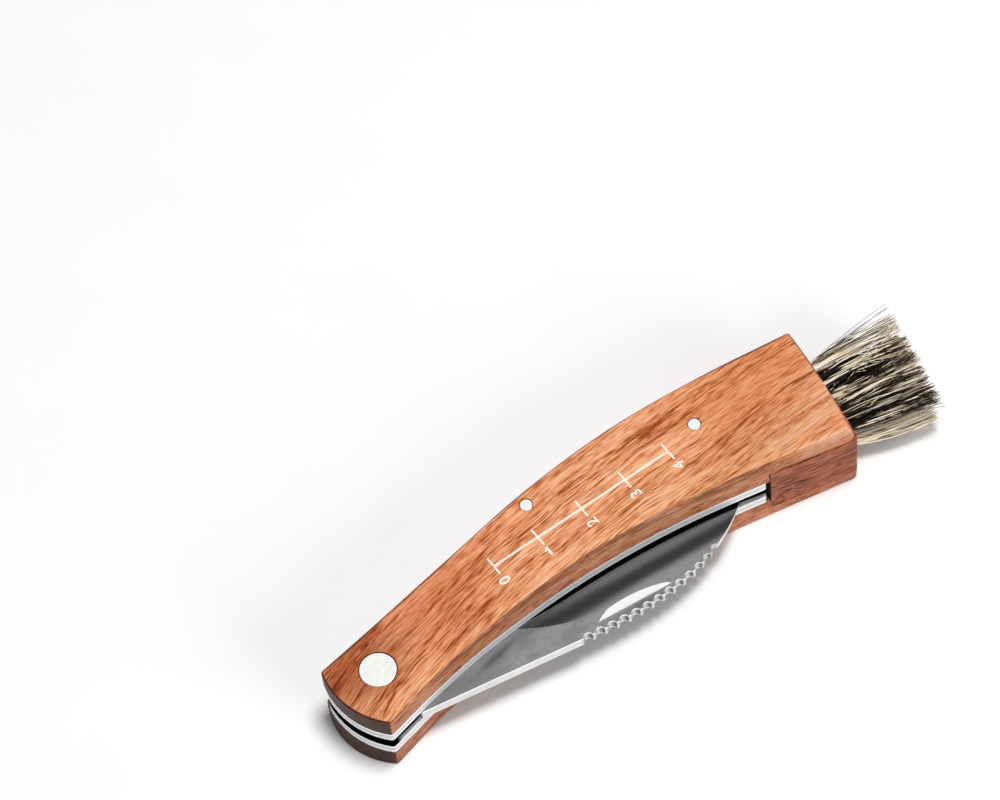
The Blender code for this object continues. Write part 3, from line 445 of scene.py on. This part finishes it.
def wood_finish(name, wood):
    """Oiled hardwood: curved fibres, streaks and patches, dark dashes and pale flecks."""
    finish = Finish(name, 0.48, Specular_IOR_Level=0.16)
    place = finish.place()
    along, across, up = finish.parts(place)
    sway = finish.noise(finish.stretched(place, (0.045, 0.10, 0.10)), 2.0)
    # The fibres run up from the blade side at the nose and level out towards the butt; on the
    # edge faces they run level
    facing = finish.facing()
    level = abs(facing[1]).rising(0.48, 0.54)
    lean = (along / -LEAN_FADES).math("EXPONENT") * (LEAN_FADES * wood.slope)
    straight = (across + lean) * (1 - level) + (sway - 0.5) * 3.0
    grain = finish.joined(along * wood.run, straight, up * wood.layers)
    calm = along.rising(55.0, 88.0) * wood.calm

    band = finish.noise(finish.stretched(grain, (0.022, 0.26, 0.26)), 2.0)
    streak = finish.noise(finish.stretched(grain, (0.045, 1.0, 1.0), (3.1, 0.0, 7.7)), 3.0, 0.7)
    fibre = finish.noise(finish.stretched(grain, (0.12, 3.3, 3.3), (8.2, 5.1, 0.0)), 2.0, 0.6)
    fine = finish.noise(finish.stretched(grain, (0.34, 6.6, 6.6), (1.3, 9.4, 2.6)), 1.0)
    shimmer = finish.noise(finish.stretched(grain, (0.40, 0.8, 0.8), (4.4, 2.2, 1.1)), 2.0, 0.6)
    tone = (band - 0.5) * (0.8 + calm * 1.2) + (shimmer - 0.5) * 0.5
    tone = tone + ((streak - 0.5) * 0.8 + (fibre - 0.5) * 1.2 + (fine - 0.5) * 1.9) * (1 - calm)
    tone = 0.5 + tone * wood.contrast
    wavy = finish.joined(along, across + (sway - 0.5) * 3.0, 0.0)
    for *where, strength in wood.patches:
        tone = tone - finish.spot(wavy, *where) * (0.35 + fibre * 0.65) * (strength * 0.85)
    shades = [rgb(*shade) for shade in wood.shades]
    colour = finish.ramp(tone, *zip((0.0, 0.28, 0.5, 0.74, 1.0), shades))
    for *where, tint in wood.tints:
        colour = finish.mix(finish.spot(place, *where), colour, rgb(*tint), "MULTIPLY")

    crowd = finish.noise(finish.stretched(place, (0.10, 0.16, 0.16), (6.0, 1.0, 4.0)), 2.0)
    crowd = crowd.rising(0.35, 0.6)
    dash = finish.noise(finish.stretched(grain, (0.20, 4.8, 4.8), (2.0, 3.0, 5.0)), 1.5)
    dash = dash.rising(wood.dash_from, wood.dash_from + 0.08)
    dash = dash * (0.3 + crowd * 0.7) * (wood.dash_share * (1 - calm))
    colour = finish.mix(dash, colour, rgb(*wood.dash))
    fleck = finish.noise(finish.stretched(grain, (0.34, 3.1, 3.1), (7.0, 8.0, 3.0)), 1.5)
    colour = finish.mix(fleck.rising(0.63, 0.74) * 0.4, colour, shades[-1])

    # Painted shade: a grey tint on the faces turned to the blade side
    blade_side_shade = (-facing[1]).rising(0.25, 0.75)
    colour = finish.mix(blade_side_shade * wood.side_share, colour, rgb(*wood.side), "MULTIPLY")
    if wood.ridge_shadow:
        # A broken dark line along the slanted side, just below the ridge
        ridge = SCALE_TOP * MILLIMETRES
        broken = finish.noise(finish.stretched(place, (0.16, 0.4, 2.4)), 3.0, 0.6)
        line = up.rising(ridge - 2.6, ridge - 0.6) * (-facing[1]).rising(0.15, 0.5)
        line = line * (0.25 + broken.rising(0.36, 0.62) * 0.75) * along.within(6.0, 84.0, 7.0)
        colour = finish.mix(line * wood.ridge_shadow, colour, rgb(108, 60, 34))
    # The nose end shows end grain, its dark colour partly painted shade
    nose_end = (-facing[0]).rising(0.2, 0.5)
    rings = finish.noise(finish.stretched(place, (0.7, 0.7, 4.0)), 3.0, 0.6)
    pale_rings = rgb(*(1.3 * channel for channel in wood.nose))
    end_grain_and_shade = finish.ramp(rings, (0.38, rgb(22, 11, 8)), (0.62, pale_rings))
    colour = finish.mix(nose_end * 0.95, colour, end_grain_and_shade)
    if wood.rim_share:
        # Painted shade: darker where the edge is rounded over, at the back and at the butt's back
        # corner, and along the top face's back edge
        turned_down = facing[2].within(0.25, 0.92, 0.06)
        butt_end = facing[0].rising(0.3, 0.5) * across.rising(-2.0, 2.0)
        outer = facing[1].rising(0.15, 0.35).math("MAXIMUM", butt_end)
        line = finish.from_back(along, across).falling(0.2, 0.5) * facing[2].rising(0.9, 0.95)
        rim = (turned_down * outer).math("MAXIMUM", line)
        colour = finish.mix(rim * wood.rim_share, colour, rgb(*wood.rim))
    finish.feed(
        Base_Color=colour,
        Roughness=0.42 + fibre * 0.12 + dash * 0.15,
        Normal=finish.bump(fibre * 0.6 + fine * 0.3 - dash * 0.8, 0.00005, 0.4),
    )
    return finish.material


def liner_finish():
    """Bright rolled liners: pale cut edges with painted highlights along them, and painted shade,
    near black, where they face the slot, with painted light along the lower liner's open edge.
    """
    finish = Finish("bright_liner_steel", 0.5, 0.25, Specular_IOR_Level=0.1)
    place = finish.place()
    along, across, up = finish.parts(place)
    facing = finish.facing()
    grain = finish.noise(finish.stretched(place, (0.25, 2.0, 6.0)), 3.0, 0.6)
    cloud = finish.noise(finish.stretched(place, (0.20, 0.20, 0.6)), 3.0, 0.6)
    colour = finish.mix(grain * 0.5 + cloud * 0.5, rgb(198, 201, 206), rgb(230, 233, 237))
    level = abs(up - MIDDLE * MILLIMETRES)
    between = level.within(LINER_INSIDE, LINER_OUTSIDE, 0.0001)
    # Painted highlights along the top and bottom of each cut edge
    edge_glint = 1 - level.within(LINER_INSIDE + EDGE_GLINT_WIDTH, LINER_OUTSIDE - EDGE_GLINT_WIDTH, 0.12)
    colour = finish.mix(edge_glint * between, colour, rgb(255, 255, 255))
    # Flat faces in the slot are painted black as shade, with painted light along the lower liner's
    # open edge, broken into patches by noise
    painted_lit_edge = finish.from_side(along, across).falling(0.75, 1.05) * facing[2].rising(0.6, 0.9)
    painted_lit_edge = painted_lit_edge * along.rising(-3.5, -2.0)
    patchiness = finish.noise(finish.stretched(place, (0.35, 1.2, 1.2)), 3.0, 0.6).rising(0.5, 0.7)
    flat = abs(facing[2]).rising(0.6, 0.9) * (1 - painted_lit_edge * (1 - patchiness * 0.5))
    colour = finish.mix(flat, colour, rgb(4, 4, 4))
    finish.feed(
        Base_Color=colour,
        Roughness=0.40 + grain * 0.16,
        Normal=finish.bump(grain, 0.00001, 0.4),
    )
    return finish.material


def spring_finish():
    """Blued grey spring steel, seen only in the slot."""
    finish = Finish("spring_steel", 0.4, 1.0)
    place = finish.place()
    grain = finish.noise(finish.stretched(place, (0.25, 5.0, 5.0)), 3.0, 0.6)
    finish.feed(
        Base_Color=finish.mix(grain, rgb(92, 94, 96), rgb(148, 150, 152)),
        Roughness=0.34 + grain * 0.14,
    )
    return finish.material


def blade_finish():
    """Blade with a satin grind: grey flats, a dark hollow grind, bright back and bright nail nick.

    Painted shade lies near the liner, in patches and on the scallops' walls; the hollow's dark
    band is a painted reflection; the back's edges and the nail nick carry painted highlights.
    """
    finish = Finish("blade_satin_steel", 0.38, Specular_IOR_Level=0.2)
    place = finish.place()
    along, across, up = finish.parts(place)
    facing = finish.facing()
    # Distance inside the line where the hollow starts, and the curved plunge that ends it
    line_along, line_across = HOLLOW_AT
    inside = (across - line_across) * cos(HOLLOW_TILT) + (along - line_along) * sin(HOLLOW_TILT)
    plunge = (PLUNGE_FROM - along).math("MAXIMUM", 0.0) / PLUNGE_LENGTH
    hollow = (inside - plunge * plunge * PLUNGE_DEPTH).rising(-0.30, 0.05)
    # The hollow's dark band is a painted reflection of dark surroundings in the curved grind; it
    # drifts away from that line towards the point
    off_band = inside - BAND_INSIDE - (along - BAND_DRIFT_FROM) * BAND_DRIFT
    run = finish.ramp(
        off_band / (6.0 + along.falling(34.0, 54.0) * 2.0) + 0.5,
        (0.0, rgb(144, 145, 146)), (0.13, rgb(138, 139, 140)), (0.23, rgb(112, 113, 115)),
        (0.33, rgb(74, 75, 77)), (0.42, rgb(56, 57, 59)), (0.57, rgb(56, 57, 59)),
        (0.67, rgb(72, 73, 75)), (0.77, rgb(98, 99, 101)), (0.88, rgb(112, 113, 115)),
    )
    grit = finish.noise(finish.stretched(place, (5.0, 1.2, 1.0)), 3.0, 0.7)
    speckle = finish.noise(finish.stretched(place, (4.2, 4.2, 4.2)), 2.0, 0.8)
    cloud = finish.noise(finish.stretched(place, (0.20, 0.35, 0.2)), 2.0)
    flat = finish.mix(cloud.rising(0.3, 0.7), rgb(130, 131, 132), rgb(147, 148, 149))
    under_liner = finish.from_side(along, across)
    # Painted shade: the flats darken towards the liner's edge, and in patches
    flat = finish.mix(under_liner.rising(-4.5, -1.0) * 0.4, flat, rgb(110, 111, 112))
    for where, shade in SHADE_PATCHES:
        flat = finish.mix(finish.spot(place, *where) * 0.7, flat, rgb(*shade))
    colour = finish.mix(hollow, flat, run)
    colour = finish.shaded(colour, 0.40 + grit * 0.5 + speckle * 0.7)
    edge_on = abs(facing[2]).falling(0.25, 0.6)
    # The plain stretch of the back is bright; in the file-cut scallops only the rims are, and the
    # walls turned along the blade are painted darker as shade
    scallops = along.within(SCALLOPS_ALONG[0], SCALLOPS_ALONG[1], 0.2)
    bright = finish.mix(cloud, rgb(208, 209, 209), rgb(236, 237, 237))
    cut = finish.mix(abs(facing[0]).rising(0.1, 0.75), rgb(206, 207, 207), rgb(112, 113, 113))
    back = finish.shaded(finish.mix(scallops, bright, cut), 0.85 + grit * 0.3)
    colour = finish.mix(edge_on, colour, back)
    top = BLADE_TOP * MILLIMETRES
    foot = BLADE_FOOT * MILLIMETRES
    # Painted highlights along the top and bottom of the back's edge-on faces
    edge_glint = (up.rising(top - 0.6, top - 0.35) + up.falling(foot + 0.2, foot + 0.4) * 0.7) * edge_on
    colour = finish.mix(edge_glint, colour, rgb(252, 252, 251))
    # Painted highlight: the nail nick's tilted face is painted near white
    nick = finish.spot(place, *NAIL_NICK).rising(0.2, 0.35)
    tilt = facing[2].within(0.8, 0.988, 0.006)
    nick_glint = finish.mix(speckle, rgb(225, 225, 225), rgb(253, 253, 252))
    colour = finish.mix(tilt * nick, colour, nick_glint)
    # Ground finest where the liner's edge mirrors in it
    gap = under_liner.rising(-1.6, -0.7) * hollow
    finish.feed(
        Base_Color=colour,
        Roughness=0.34 + grit * 0.16 - gap * 0.24,
        Metallic=0.38 + gap * 0.62,
        Normal=finish.bump(grit, 0.00001, 0.5),
    )
    return finish.material


def rivet_finish():
    """Pale rivet and pin heads, finely sanded with the scales."""
    finish = Finish("sanded_nickel_steel", 0.45, 1.0)
    place = finish.place()
    mottle = finish.noise(finish.stretched(place, (1.1, 1.1, 1.1)), 4.0, 0.65)
    scratch = finish.noise(finish.stretched(place, (0.7, 9.0, 9.0)), 2.0, 0.5)
    colour = finish.mix(mottle.rising(0.35, 0.65), rgb(238, 239, 235), rgb(248, 249, 246))
    finish.feed(
        Base_Color=colour,
        Roughness=0.38 + scratch * 0.15,
        Normal=finish.bump(scratch, 0.00001, 0.3),
    )
    return finish.material


def brass_finish():
    finish = Finish("washer_brass", 0.35, 1.0)
    place = finish.place()
    rubbed = finish.noise(finish.stretched(place, (2.0, 2.0, 2.0)), 3.0, 0.6)
    finish.feed(
        Base_Color=finish.mix(rubbed, rgb(176, 132, 62), rgb(226, 190, 112)),
        Roughness=0.28 + rubbed * 0.2,
    )
    return finish.material


def ink_finish():
    """White printed ink, thinner over the wood's pores."""
    finish = Finish("white_ink", 0.6)
    place = finish.place()
    worn = finish.noise(finish.stretched(place, (0.5, 4.0, 1.0)), 3.0, 0.6).rising(0.55, 0.75)
    finish.feed(Base_Color=finish.mix(worn * 0.45, rgb(247, 238, 228), rgb(228, 190, 158)))
    return finish.material


def bristle_finish(name, pale):
    """Boar bristle: each hair straw, grey or near black, brown at its tip; pale sets how many."""
    finish = Finish(name, 0.5, Specular_IOR_Level=0.12)
    own = finish.node("ShaderNodeNewGeometry", output="Random Per Island")
    place = finish.place()
    along, across, up = finish.parts(place)
    chord = (BUTT_HIGH - BUTT_LOW).normalized()
    middle = (BUTT_LOW + BUTT_HIGH) / 2 * MILLIMETRES
    out = (along - middle.x) * chord.y - (across - middle.y) * chord.x
    aside = (along - middle.x) * chord.x + (across - middle.y) * chord.y
    clump = finish.noise(finish.joined(out * 0.07, aside * 1.1, up * 1.1), 1.0).rising(0.42, 0.66)
    dark_end = 1 - pale
    hair = finish.ramp(
        own * 0.5 + clump * 0.5,
        (0.0, rgb(7, 5, 4)), (dark_end * 0.7, rgb(26, 18, 13)), (dark_end * 0.92, rgb(92, 70, 54)),
        (dark_end, rgb(190, 164, 134)), (dark_end + pale * 0.15, rgb(248, 232, 202)),
        (dark_end + pale * 0.5, rgb(254, 246, 228)), (1.0, rgb(255, 253, 247)),
    )
    streak = finish.noise(finish.stretched(place, (0.6, 3.0, 3.0)), 2.0)
    colour = finish.shaded(hair, 0.9 + streak * 0.3)
    stained = finish.noise(finish.stretched(place, (0.2, 1.5, 1.5)), 1.0).rising(0.35, 0.65)
    colour = finish.mix(out.rising(14.5, 18.0) * stained * 0.5, colour, rgb(150, 118, 78))
    # The loose hairs beyond the last tuft are dark
    colour = finish.mix(aside.rising(8.3, 8.8) * 0.85, colour, rgb(58, 48, 42))
    finish.feed(Base_Color=colour, Roughness=0.32 + streak * 0.2)
    return finish.material


def floor_finish():
    finish = Finish("pale_floor", 0.9)
    place = finish.place()
    paper = finish.noise(finish.stretched(place, (0.05, 0.05, 0.05)), 2.0)
    finish.feed(Base_Color=finish.mix(paper, rgb(251, 251, 251), rgb(254, 254, 254)))
    return finish.material


# Pieces

def keep_piece(mesh, name, material, body):
    """A new piece in its place, with its finish, riding on its body."""
    piece = bpy.data.objects.new(name, mesh)
    bpy.context.scene.collection.objects.link(piece)
    piece.data.materials.clear()
    piece.data.materials.append(material)
    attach(piece, body)
    return piece


def digit_one(ink, centre):
    """A short figure one: a stem that reads from the butt, with a small flag."""
    half = DIGIT_HEIGHT * 0.42
    wide = STROKE_WIDTH / 2 + DIGIT_BOLDNESS
    outline = (
        (-half, -wide), (half, -wide), (half, wide * 0.6), (half * 0.35, wide * 3.4),
        (half * 0.1, wide * 2.4), (half * 0.42, wide), (-half, wide),
    )
    form = bmesh.new()
    low = [form.verts.new((centre.x - y, centre.y + x, SCALE_TOP)) for x, y in outline]
    made = bmesh.ops.extrude_face_region(form, geom=[form.faces.new(low)])["geom"]
    raised = [part for part in made if isinstance(part, bmesh.types.BMVert)]
    bmesh.ops.translate(form, vec=(0.0, 0.0, INK_THICKNESS), verts=raised)
    bmesh.ops.recalc_face_normals(form, faces=form.faces)
    mesh = bpy.data.meshes.new("rule_digit_1")
    form.to_mesh(mesh)
    form.free()
    keep_piece(mesh, "rule_digit_1", ink, "handle")


def printed_rule(ink):
    """The rule: a line, a stroke each ten millimetres, and the digits beside them."""
    form = bmesh.new()

    def bar(low, high):
        corners = bmesh.ops.create_cube(form, size=1.0)["verts"]
        size = (high.x - low.x, high.y - low.y, INK_THICKNESS)
        bmesh.ops.scale(form, vec=size, verts=corners)
        centre = ((low + high) / 2).to_3d()
        centre.z = SCALE_TOP + INK_THICKNESS / 2
        bmesh.ops.translate(form, vec=centre, verts=corners)

    start = PIVOT.xy + RULE_START
    end = start + Vector((RULE_STEP * RULE_STEPS, 0.0))
    half = RULE_WIDTH / 2
    stroke = STROKE_WIDTH / 2
    bar(start - Vector((0.0, half)), end + Vector((0.0, half)))
    for number in range(RULE_STEPS + 1):
        centre = start + Vector((RULE_STEP * number, 0.0))
        for side in (-1, 1):
            inner = centre + Vector((0.0, side * half))
            outer = centre + Vector((0.0, side * STROKE_LENGTH / 2))
            low, high = (inner, outer) if side > 0 else (outer, inner)
            bar(low - Vector((stroke, 0.0)), high + Vector((stroke, 0.0)))
    mesh = bpy.data.meshes.new("rule_print")
    form.to_mesh(mesh)
    form.free()
    keep_piece(mesh, "rule_print", ink, "handle")

    for number in range(RULE_STEPS + 1):
        if number == 1:
            digit_one(ink, start + Vector((RULE_STEP, -DIGIT_OFFSET)))
            continue
        text = bpy.data.curves.new(f"rule_digit_{number}", "FONT")
        text.body = str(number)
        text.size = DIGIT_HEIGHT / DIGIT_SHARE
        text.align_x = "CENTER"
        text.align_y = "CENTER"
        text.extrude = INK_THICKNESS / 2
        text.offset = DIGIT_BOLDNESS
        lettering = bpy.data.objects.new("lettering", text)
        bpy.context.scene.collection.objects.link(lettering)
        centre = start + Vector((RULE_STEP * number, -DIGIT_OFFSET))
        turn = Matrix.Rotation(pi / 2, 4, "Z")
        lettering.matrix_world = (
            Matrix.Translation((centre.x, centre.y, SCALE_TOP + INK_THICKNESS / 2)) @ turn)
        bpy.context.view_layer.update()
        shown = lettering.evaluated_get(bpy.context.evaluated_depsgraph_get())
        mesh = bpy.data.meshes.new_from_object(shown)
        mesh.transform(lettering.matrix_world)
        bpy.data.objects.remove(lettering)
        keep_piece(mesh, f"rule_digit_{number}", ink, "handle")


def butt_matrix():
    """Local +Z out of the butt's end, local +Y across it to the back, local +X down."""
    chord = (BUTT_HIGH - BUTT_LOW).normalized()
    outward = Vector((chord.y, -chord.x))
    centre = PIVOT.xy + (BUTT_LOW + BUTT_HIGH) / 2 - chord * BRUSH_SIDE_SHIFT + outward * BUTT_BULGE
    turn = Matrix.Rotation(atan2(outward.y, outward.x), 4, "Z") @ Matrix.Rotation(pi / 2, 4, "Y")
    return Matrix.Translation((centre.x, centre.y, MIDDLE)) @ turn


def tuft_places():
    """Each tuft's place down and across the butt's end."""
    places = []
    for row, count in enumerate(TUFTS_IN_ROWS):
        up = (row - (len(TUFTS_IN_ROWS) - 1) / 2) * TUFT_ROW_SPACING
        for column in range(count):
            places.append(Vector((-up, (column - (count - 1) / 2) * TUFT_PITCH)))
    return places


# How each tuft's hairs part: share of pale hairs, and how far they bow and end towards the back.
# The low pale shares of the inner and lower tufts are partly painted shade: near-black hairs
# standing in for the dark gaps between the tufts.
TUFT_HABITS = (
    (0.84, -0.0006, 0.0), (0.12, 0.0, 0.0), (0.06, 0.0, 0.0), (0.06, 0.0, 0.0), (0.12, 0.0, 0.0),
    (0.80, -0.0002, 0.0), (0.20, 0.0, 0.0), (0.05, 0.0, 0.0), (0.30, 0.0, 0.0),
    (0.28, -0.0001, -0.0004), (0.54, 0.0002, 0.0002), (0.50, -0.0008, 0.0004),
    (0.54, 0.0008, -0.0006), (0.75, 0.0003, 0.0003),
)

# Hairs astray, in millimetres in the brush's own frame: tuft, across at a third and two thirds,
# across and out at the tip, and how far up
STRAYS = (
    (14, 10.3, 11.0, 10.8, 14.8, 0.5), (14, 8.6, 9.5, 11.2, 20.4, 0.9),
    (14, 9.0, 9.9, 10.6, 18.6, 0.2), (14, 9.6, 10.4, 10.2, 17.0, 0.7),
    (11, -1.9, 0.4, 2.9, 18.4, 4.4), (11, -2.4, -0.6, 1.4, 18.9, 4.1),
    (12, 1.9, 4.0, 6.4, 19.0, 4.3), (13, 2.0, -0.5, -3.2, 18.5, 4.2),
    (12, -2.0, -3.9, -5.9, 18.0, 4.3), (11, -5.0, -3.0, 0.2, 18.6, 4.5),
    (13, 4.9, 6.0, 7.8, 19.3, 4.2), (14, 5.8, 4.0, 2.2, 18.8, 4.2),
    (1, -8.4, -9.6, -12.0, 16.8, -4.4), (1, -9.2, -10.6, -11.8, 15.2, -4.0),
    (1, -8.0, -9.4, -10.9, 18.2, -4.2),
)
# Stouter hairs that cross over the others on top of the brush, in the same terms
CROSSINGS = (
    (12, 3.2, 1.0, -2.2, 18.2, 4.5), (11, -4.0, -1.2, 2.0, 18.0, 4.6),
    (12, 0.8, 3.4, 6.9, 19.0, 4.6), (13, 3.4, 1.6, -0.8, 18.4, 4.5),
    (13, 5.8, 3.2, 0.4, 18.0, 4.6), (11, -5.6, -2.6, 1.0, 17.6, 4.4),
    (12, -0.4, -2.6, -5.2, 17.9, 4.7), (13, 3.6, 0.9, -2.4, 18.8, 4.8),
    (12, 2.6, 4.6, 7.4, 18.2, 4.7),
)


def add_bristle(form, path, radius, turn):
    """A closed three-sided hair along a path, thinner to its tip."""
    rings = []
    for step, point in enumerate(path):
        after = path[min(step + 1, len(path) - 1)]
        before = path[max(step - 1, 0)]
        direction = (after - before).normalized()
        side = direction.orthogonal().normalized()
        size = radius * (1 - TIP_THINNING * step / (len(path) - 1))
        other = direction.cross(side)
        rings.append([
            form.verts.new(point + (side * cos(a) + other * sin(a)) * size)
            for a in (turn + corner * 2 * pi / 3 for corner in range(3))
        ])
    for lower, upper in zip(rings, rings[1:]):
        for corner in range(3):
            after = (corner + 1) % 3
            form.faces.new((lower[corner], lower[after], upper[after], upper[corner]))
    form.faces.new(rings[0][::-1])
    form.faces.new(rings[-1])


def tip_of(place, offset):
    """Where a hair of a tuft would end in the even fan."""
    across = place.y * (1 + BRUSH_FAN_WIDE) - BRUSH_LEAN + offset.y * TIP_SPREAD
    return Vector((
        place.x * (1 + BRUSH_FAN_THICK) + offset.x * (1 + BRUSH_FAN_THICK),
        across,
        BRUSH_REACH + across * BRUSH_TIP_SLANT,
    ))


def bristle_path(start, tip, bow, wave):
    """A hair: straight out of its hole, then bowed sideways on its way to the tip."""
    mouth = Vector((start.x, start.y, 0.0))
    points = [Vector((start.x, start.y, -TUFT_DEPTH))]
    for step in range(BRISTLE_STEPS):
        t = step / (BRISTLE_STEPS - 1)
        points.append(mouth.lerp(tip, t) + bow * sin(pi * t) + wave * sin(2 * pi * t))
    return points


def stray_path(start, third, two_thirds, tip_across, tip_out, up):
    """A hair that leaves its tuft: a smooth run through places chosen for it."""
    mouth = Vector((start.x, start.y, 0.0))
    knots = [
        mouth,
        Vector((-up * 0.6 + start.x * 0.4, third, tip_out * 0.36)),
        Vector((-up * 0.9 + start.x * 0.1, two_thirds, tip_out * 0.68)),
        Vector((-up, tip_across, tip_out)),
    ]
    points = [Vector((start.x, start.y, -TUFT_DEPTH))]
    for step in range(STRAY_STEPS):
        t = step / (STRAY_STEPS - 1) * 3
        number = min(int(t), 2)
        share = t - number
        before = knots[max(number - 1, 0)]
        first, second = knots[number], knots[number + 1]
        after = knots[min(number + 2, 3)]
        points.append(0.5 * (
            2 * first + (second - before) * share
            + (2 * before - 5 * first + 4 * second - after) * share ** 2
            + (3 * first - before - 3 * second + after) * share ** 3
        ))
    return points


def scattered(chance, across, spread):
    """A small sideways step, up and across, about a middle."""
    return Vector((chance.gauss(0, spread[0]), across + chance.gauss(0, spread[1]), 0.0))


def make_bristles():
    """Fourteen tufts of fine hairs in locks, some of them astray."""
    chance = random.Random(SEED)
    crossing_chance = random.Random(SEED + 1)
    butt = butt_matrix()
    finishes = {}
    for number, (place, habit) in enumerate(zip(tuft_places(), TUFT_HABITS), 1):
        pale, part_bow, part_tip = habit
        if pale not in finishes:
            finishes[pale] = bristle_finish(f"boar_bristle_{round(pale * 100)}", pale)
        form = bmesh.new()
        locks = []
        for lock in range(LOCKS_PER_TUFT):
            angle = 2 * pi * lock / LOCKS_PER_TUFT + chance.uniform(-LOCK_TURN, LOCK_TURN)
            offset = Vector((cos(angle), sin(angle))) * TUFT_RADIUS * LOCK_REACH
            locks.append((tip_of(place, offset), scattered(chance, part_bow, LOCK_BOWS)))
        for hair in range(BRISTLES_PER_TUFT):
            angle = 2 * pi * HAIR_TURN * hair
            reach = TUFT_RADIUS * sqrt((hair + 0.5) / BRISTLES_PER_TUFT)
            offset = Vector((cos(angle), sin(angle))) * reach
            even_tip = tip_of(place, offset)
            lock_tip, lock_bow = min(locks, key=lambda lock: (lock[0] - even_tip).length)
            tip = even_tip.lerp(lock_tip, LOCK_PULL)
            tip += scattered(chance, part_tip, HAIR_TIPS)
            tip.z = BRUSH_REACH + tip.y * BRUSH_TIP_SLANT - abs(chance.gauss(0, RAGGEDNESS))
            bow = lock_bow + scattered(chance, 0.0, HAIR_BOWS)
            wave = scattered(chance, 0.0, HAIR_WAVES)
            if chance.random() < WILD_SHARE:
                up = chance.uniform(-WILD_UP, WILD_UP)
                tip += Vector((up, chance.gauss(0, WILD_ACROSS), 0.0))
            width = BRISTLE_RADIUS * chance.uniform(*HAIR_WIDTHS)
            path = bristle_path(place + offset, tip, bow, wave)
            add_bristle(form, path, width, chance.uniform(0, 2 * pi))
        for runs, draws, thinness in (
            (STRAYS, chance, STRAY_THINNESS), (CROSSINGS, crossing_chance, CROSSING_THINNESS),
        ):
            for stray_tuft, *run in runs:
                if stray_tuft == number:
                    angle = draws.uniform(0, 2 * pi)
                    start = place + Vector((cos(angle), sin(angle))) * TUFT_RADIUS * STRAY_REACH
                    path = stray_path(start, *(value / MILLIMETRES for value in run))
                    add_bristle(form, path, BRISTLE_RADIUS * thinness, angle)
        form.transform(butt)
        mesh = bpy.data.meshes.new(f"bristles_{number:02d}")
        form.to_mesh(mesh)
        form.free()
        piece = keep_piece(mesh, mesh.name, finishes[pale], "handle")
        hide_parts(f"brush_tuft_{number:02d}")


def dress(names, material):
    """Gives CAD nodes their finish."""
    for name in names:
        node = frame["nodes"][name]
        node.data.materials.clear()
        node.data.materials.append(material)


def dress_nodes():
    dress(["upper_scale"], wood_finish("oiled_orange_hardwood", UPPER_WOOD))
    dress(["lower_scale"], wood_finish("oiled_brown_hardwood", LOWER_WOOD))
    dress(["butt_block"], wood_finish("red_block_hardwood", BLOCK_WOOD))
    dress(["upper_liner", "lower_liner"], liner_finish())
    dress(["backspring"] + [f"tuft_anchor_{n:02d}" for n in range(1, 15)], spring_finish())
    dress(["blade"], blade_finish())
    dress(["pivot_rivet_sleeve", "pivot_rivet_core", "spring_pin", "rear_pin"], rivet_finish())
    dress(["upper_washer", "lower_washer"], brass_finish())


# Floor, light and camera

def lay_floor():
    form = bmesh.new()
    bmesh.ops.create_grid(form, x_segments=8, y_segments=8, size=FLOOR_HALF)
    mesh = bpy.data.meshes.new("floor")
    form.to_mesh(mesh)
    form.free()
    floor = bpy.data.objects.new("floor", mesh)
    floor.location.z = -FLOOR_DROP
    floor.data.materials.append(floor_finish())
    bpy.context.scene.collection.objects.link(floor)


def light_studio():
    """An even pale surround that shows white, a broad lamp above and a weaker one in front."""
    world = bpy.data.worlds.new("studio")
    bpy.context.scene.world = world
    world.use_nodes = True
    tree = world.node_tree
    background = tree.nodes["Background"]
    background.inputs["Color"].default_value = (1.0, 1.0, 1.0, 1.0)
    paths = tree.nodes.new("ShaderNodeLightPath")
    seen = paths.outputs["Is Camera Ray"]
    for output in ("Is Glossy Ray", "Is Transmission Ray"):
        either = tree.nodes.new("ShaderNodeMath")
        either.operation = "MAXIMUM"
        tree.links.new(seen, either.inputs[0])
        tree.links.new(paths.outputs[output], either.inputs[1])
        seen = either.outputs[0]
    level = tree.nodes.new("ShaderNodeMapRange")
    level.inputs["To Min"].default_value = SURROUND_LIGHT
    level.inputs["To Max"].default_value = 1.0
    tree.links.new(seen, level.inputs["Value"])
    tree.links.new(level.outputs[0], background.inputs["Strength"])

    for name, position, size, energy, mirrored in LAMPS:
        lamp = bpy.data.lights.new(name, "AREA")
        lamp.size = size
        lamp.energy = energy
        holder = bpy.data.objects.new(name, lamp)
        holder.location = position
        holder.rotation_euler = (-position).to_track_quat("-Z", "Y").to_euler()
        holder.visible_glossy = mirrored
        bpy.context.scene.collection.objects.link(holder)


def set_camera():
    """The photograph's view, solved from the rule's ten-millimetre strokes."""
    camera = bpy.data.cameras.new("camera")
    camera.lens = CAMERA_LENS
    camera.sensor_width = CAMERA_SENSOR
    camera.clip_start = CAMERA_NEAR
    back = Vector((
        sin(CAMERA_AZIMUTH) * cos(CAMERA_ELEVATION),
        -cos(CAMERA_AZIMUTH) * cos(CAMERA_ELEVATION),
        sin(CAMERA_ELEVATION),
    ))
    right = Vector((0, 0, 1)).cross(back).normalized()
    above = back.cross(right)
    rolled_right = right * cos(CAMERA_ROLL) + above * sin(CAMERA_ROLL)
    rolled_above = above * cos(CAMERA_ROLL) - right * sin(CAMERA_ROLL)
    pose = Matrix((rolled_right, rolled_above, back)).transposed().to_4x4()
    pose.translation = PIVOT + AIM + back * CAMERA_DISTANCE
    holder = bpy.data.objects.new("camera", camera)
    holder.matrix_world = pose
    bpy.context.scene.collection.objects.link(holder)
    bpy.context.scene.camera = holder


set_camera()
lay_floor()
light_studio()
dress_nodes()
printed_rule(ink_finish())
make_bristles()
bpy.context.scene.view_settings.view_transform = "Standard"
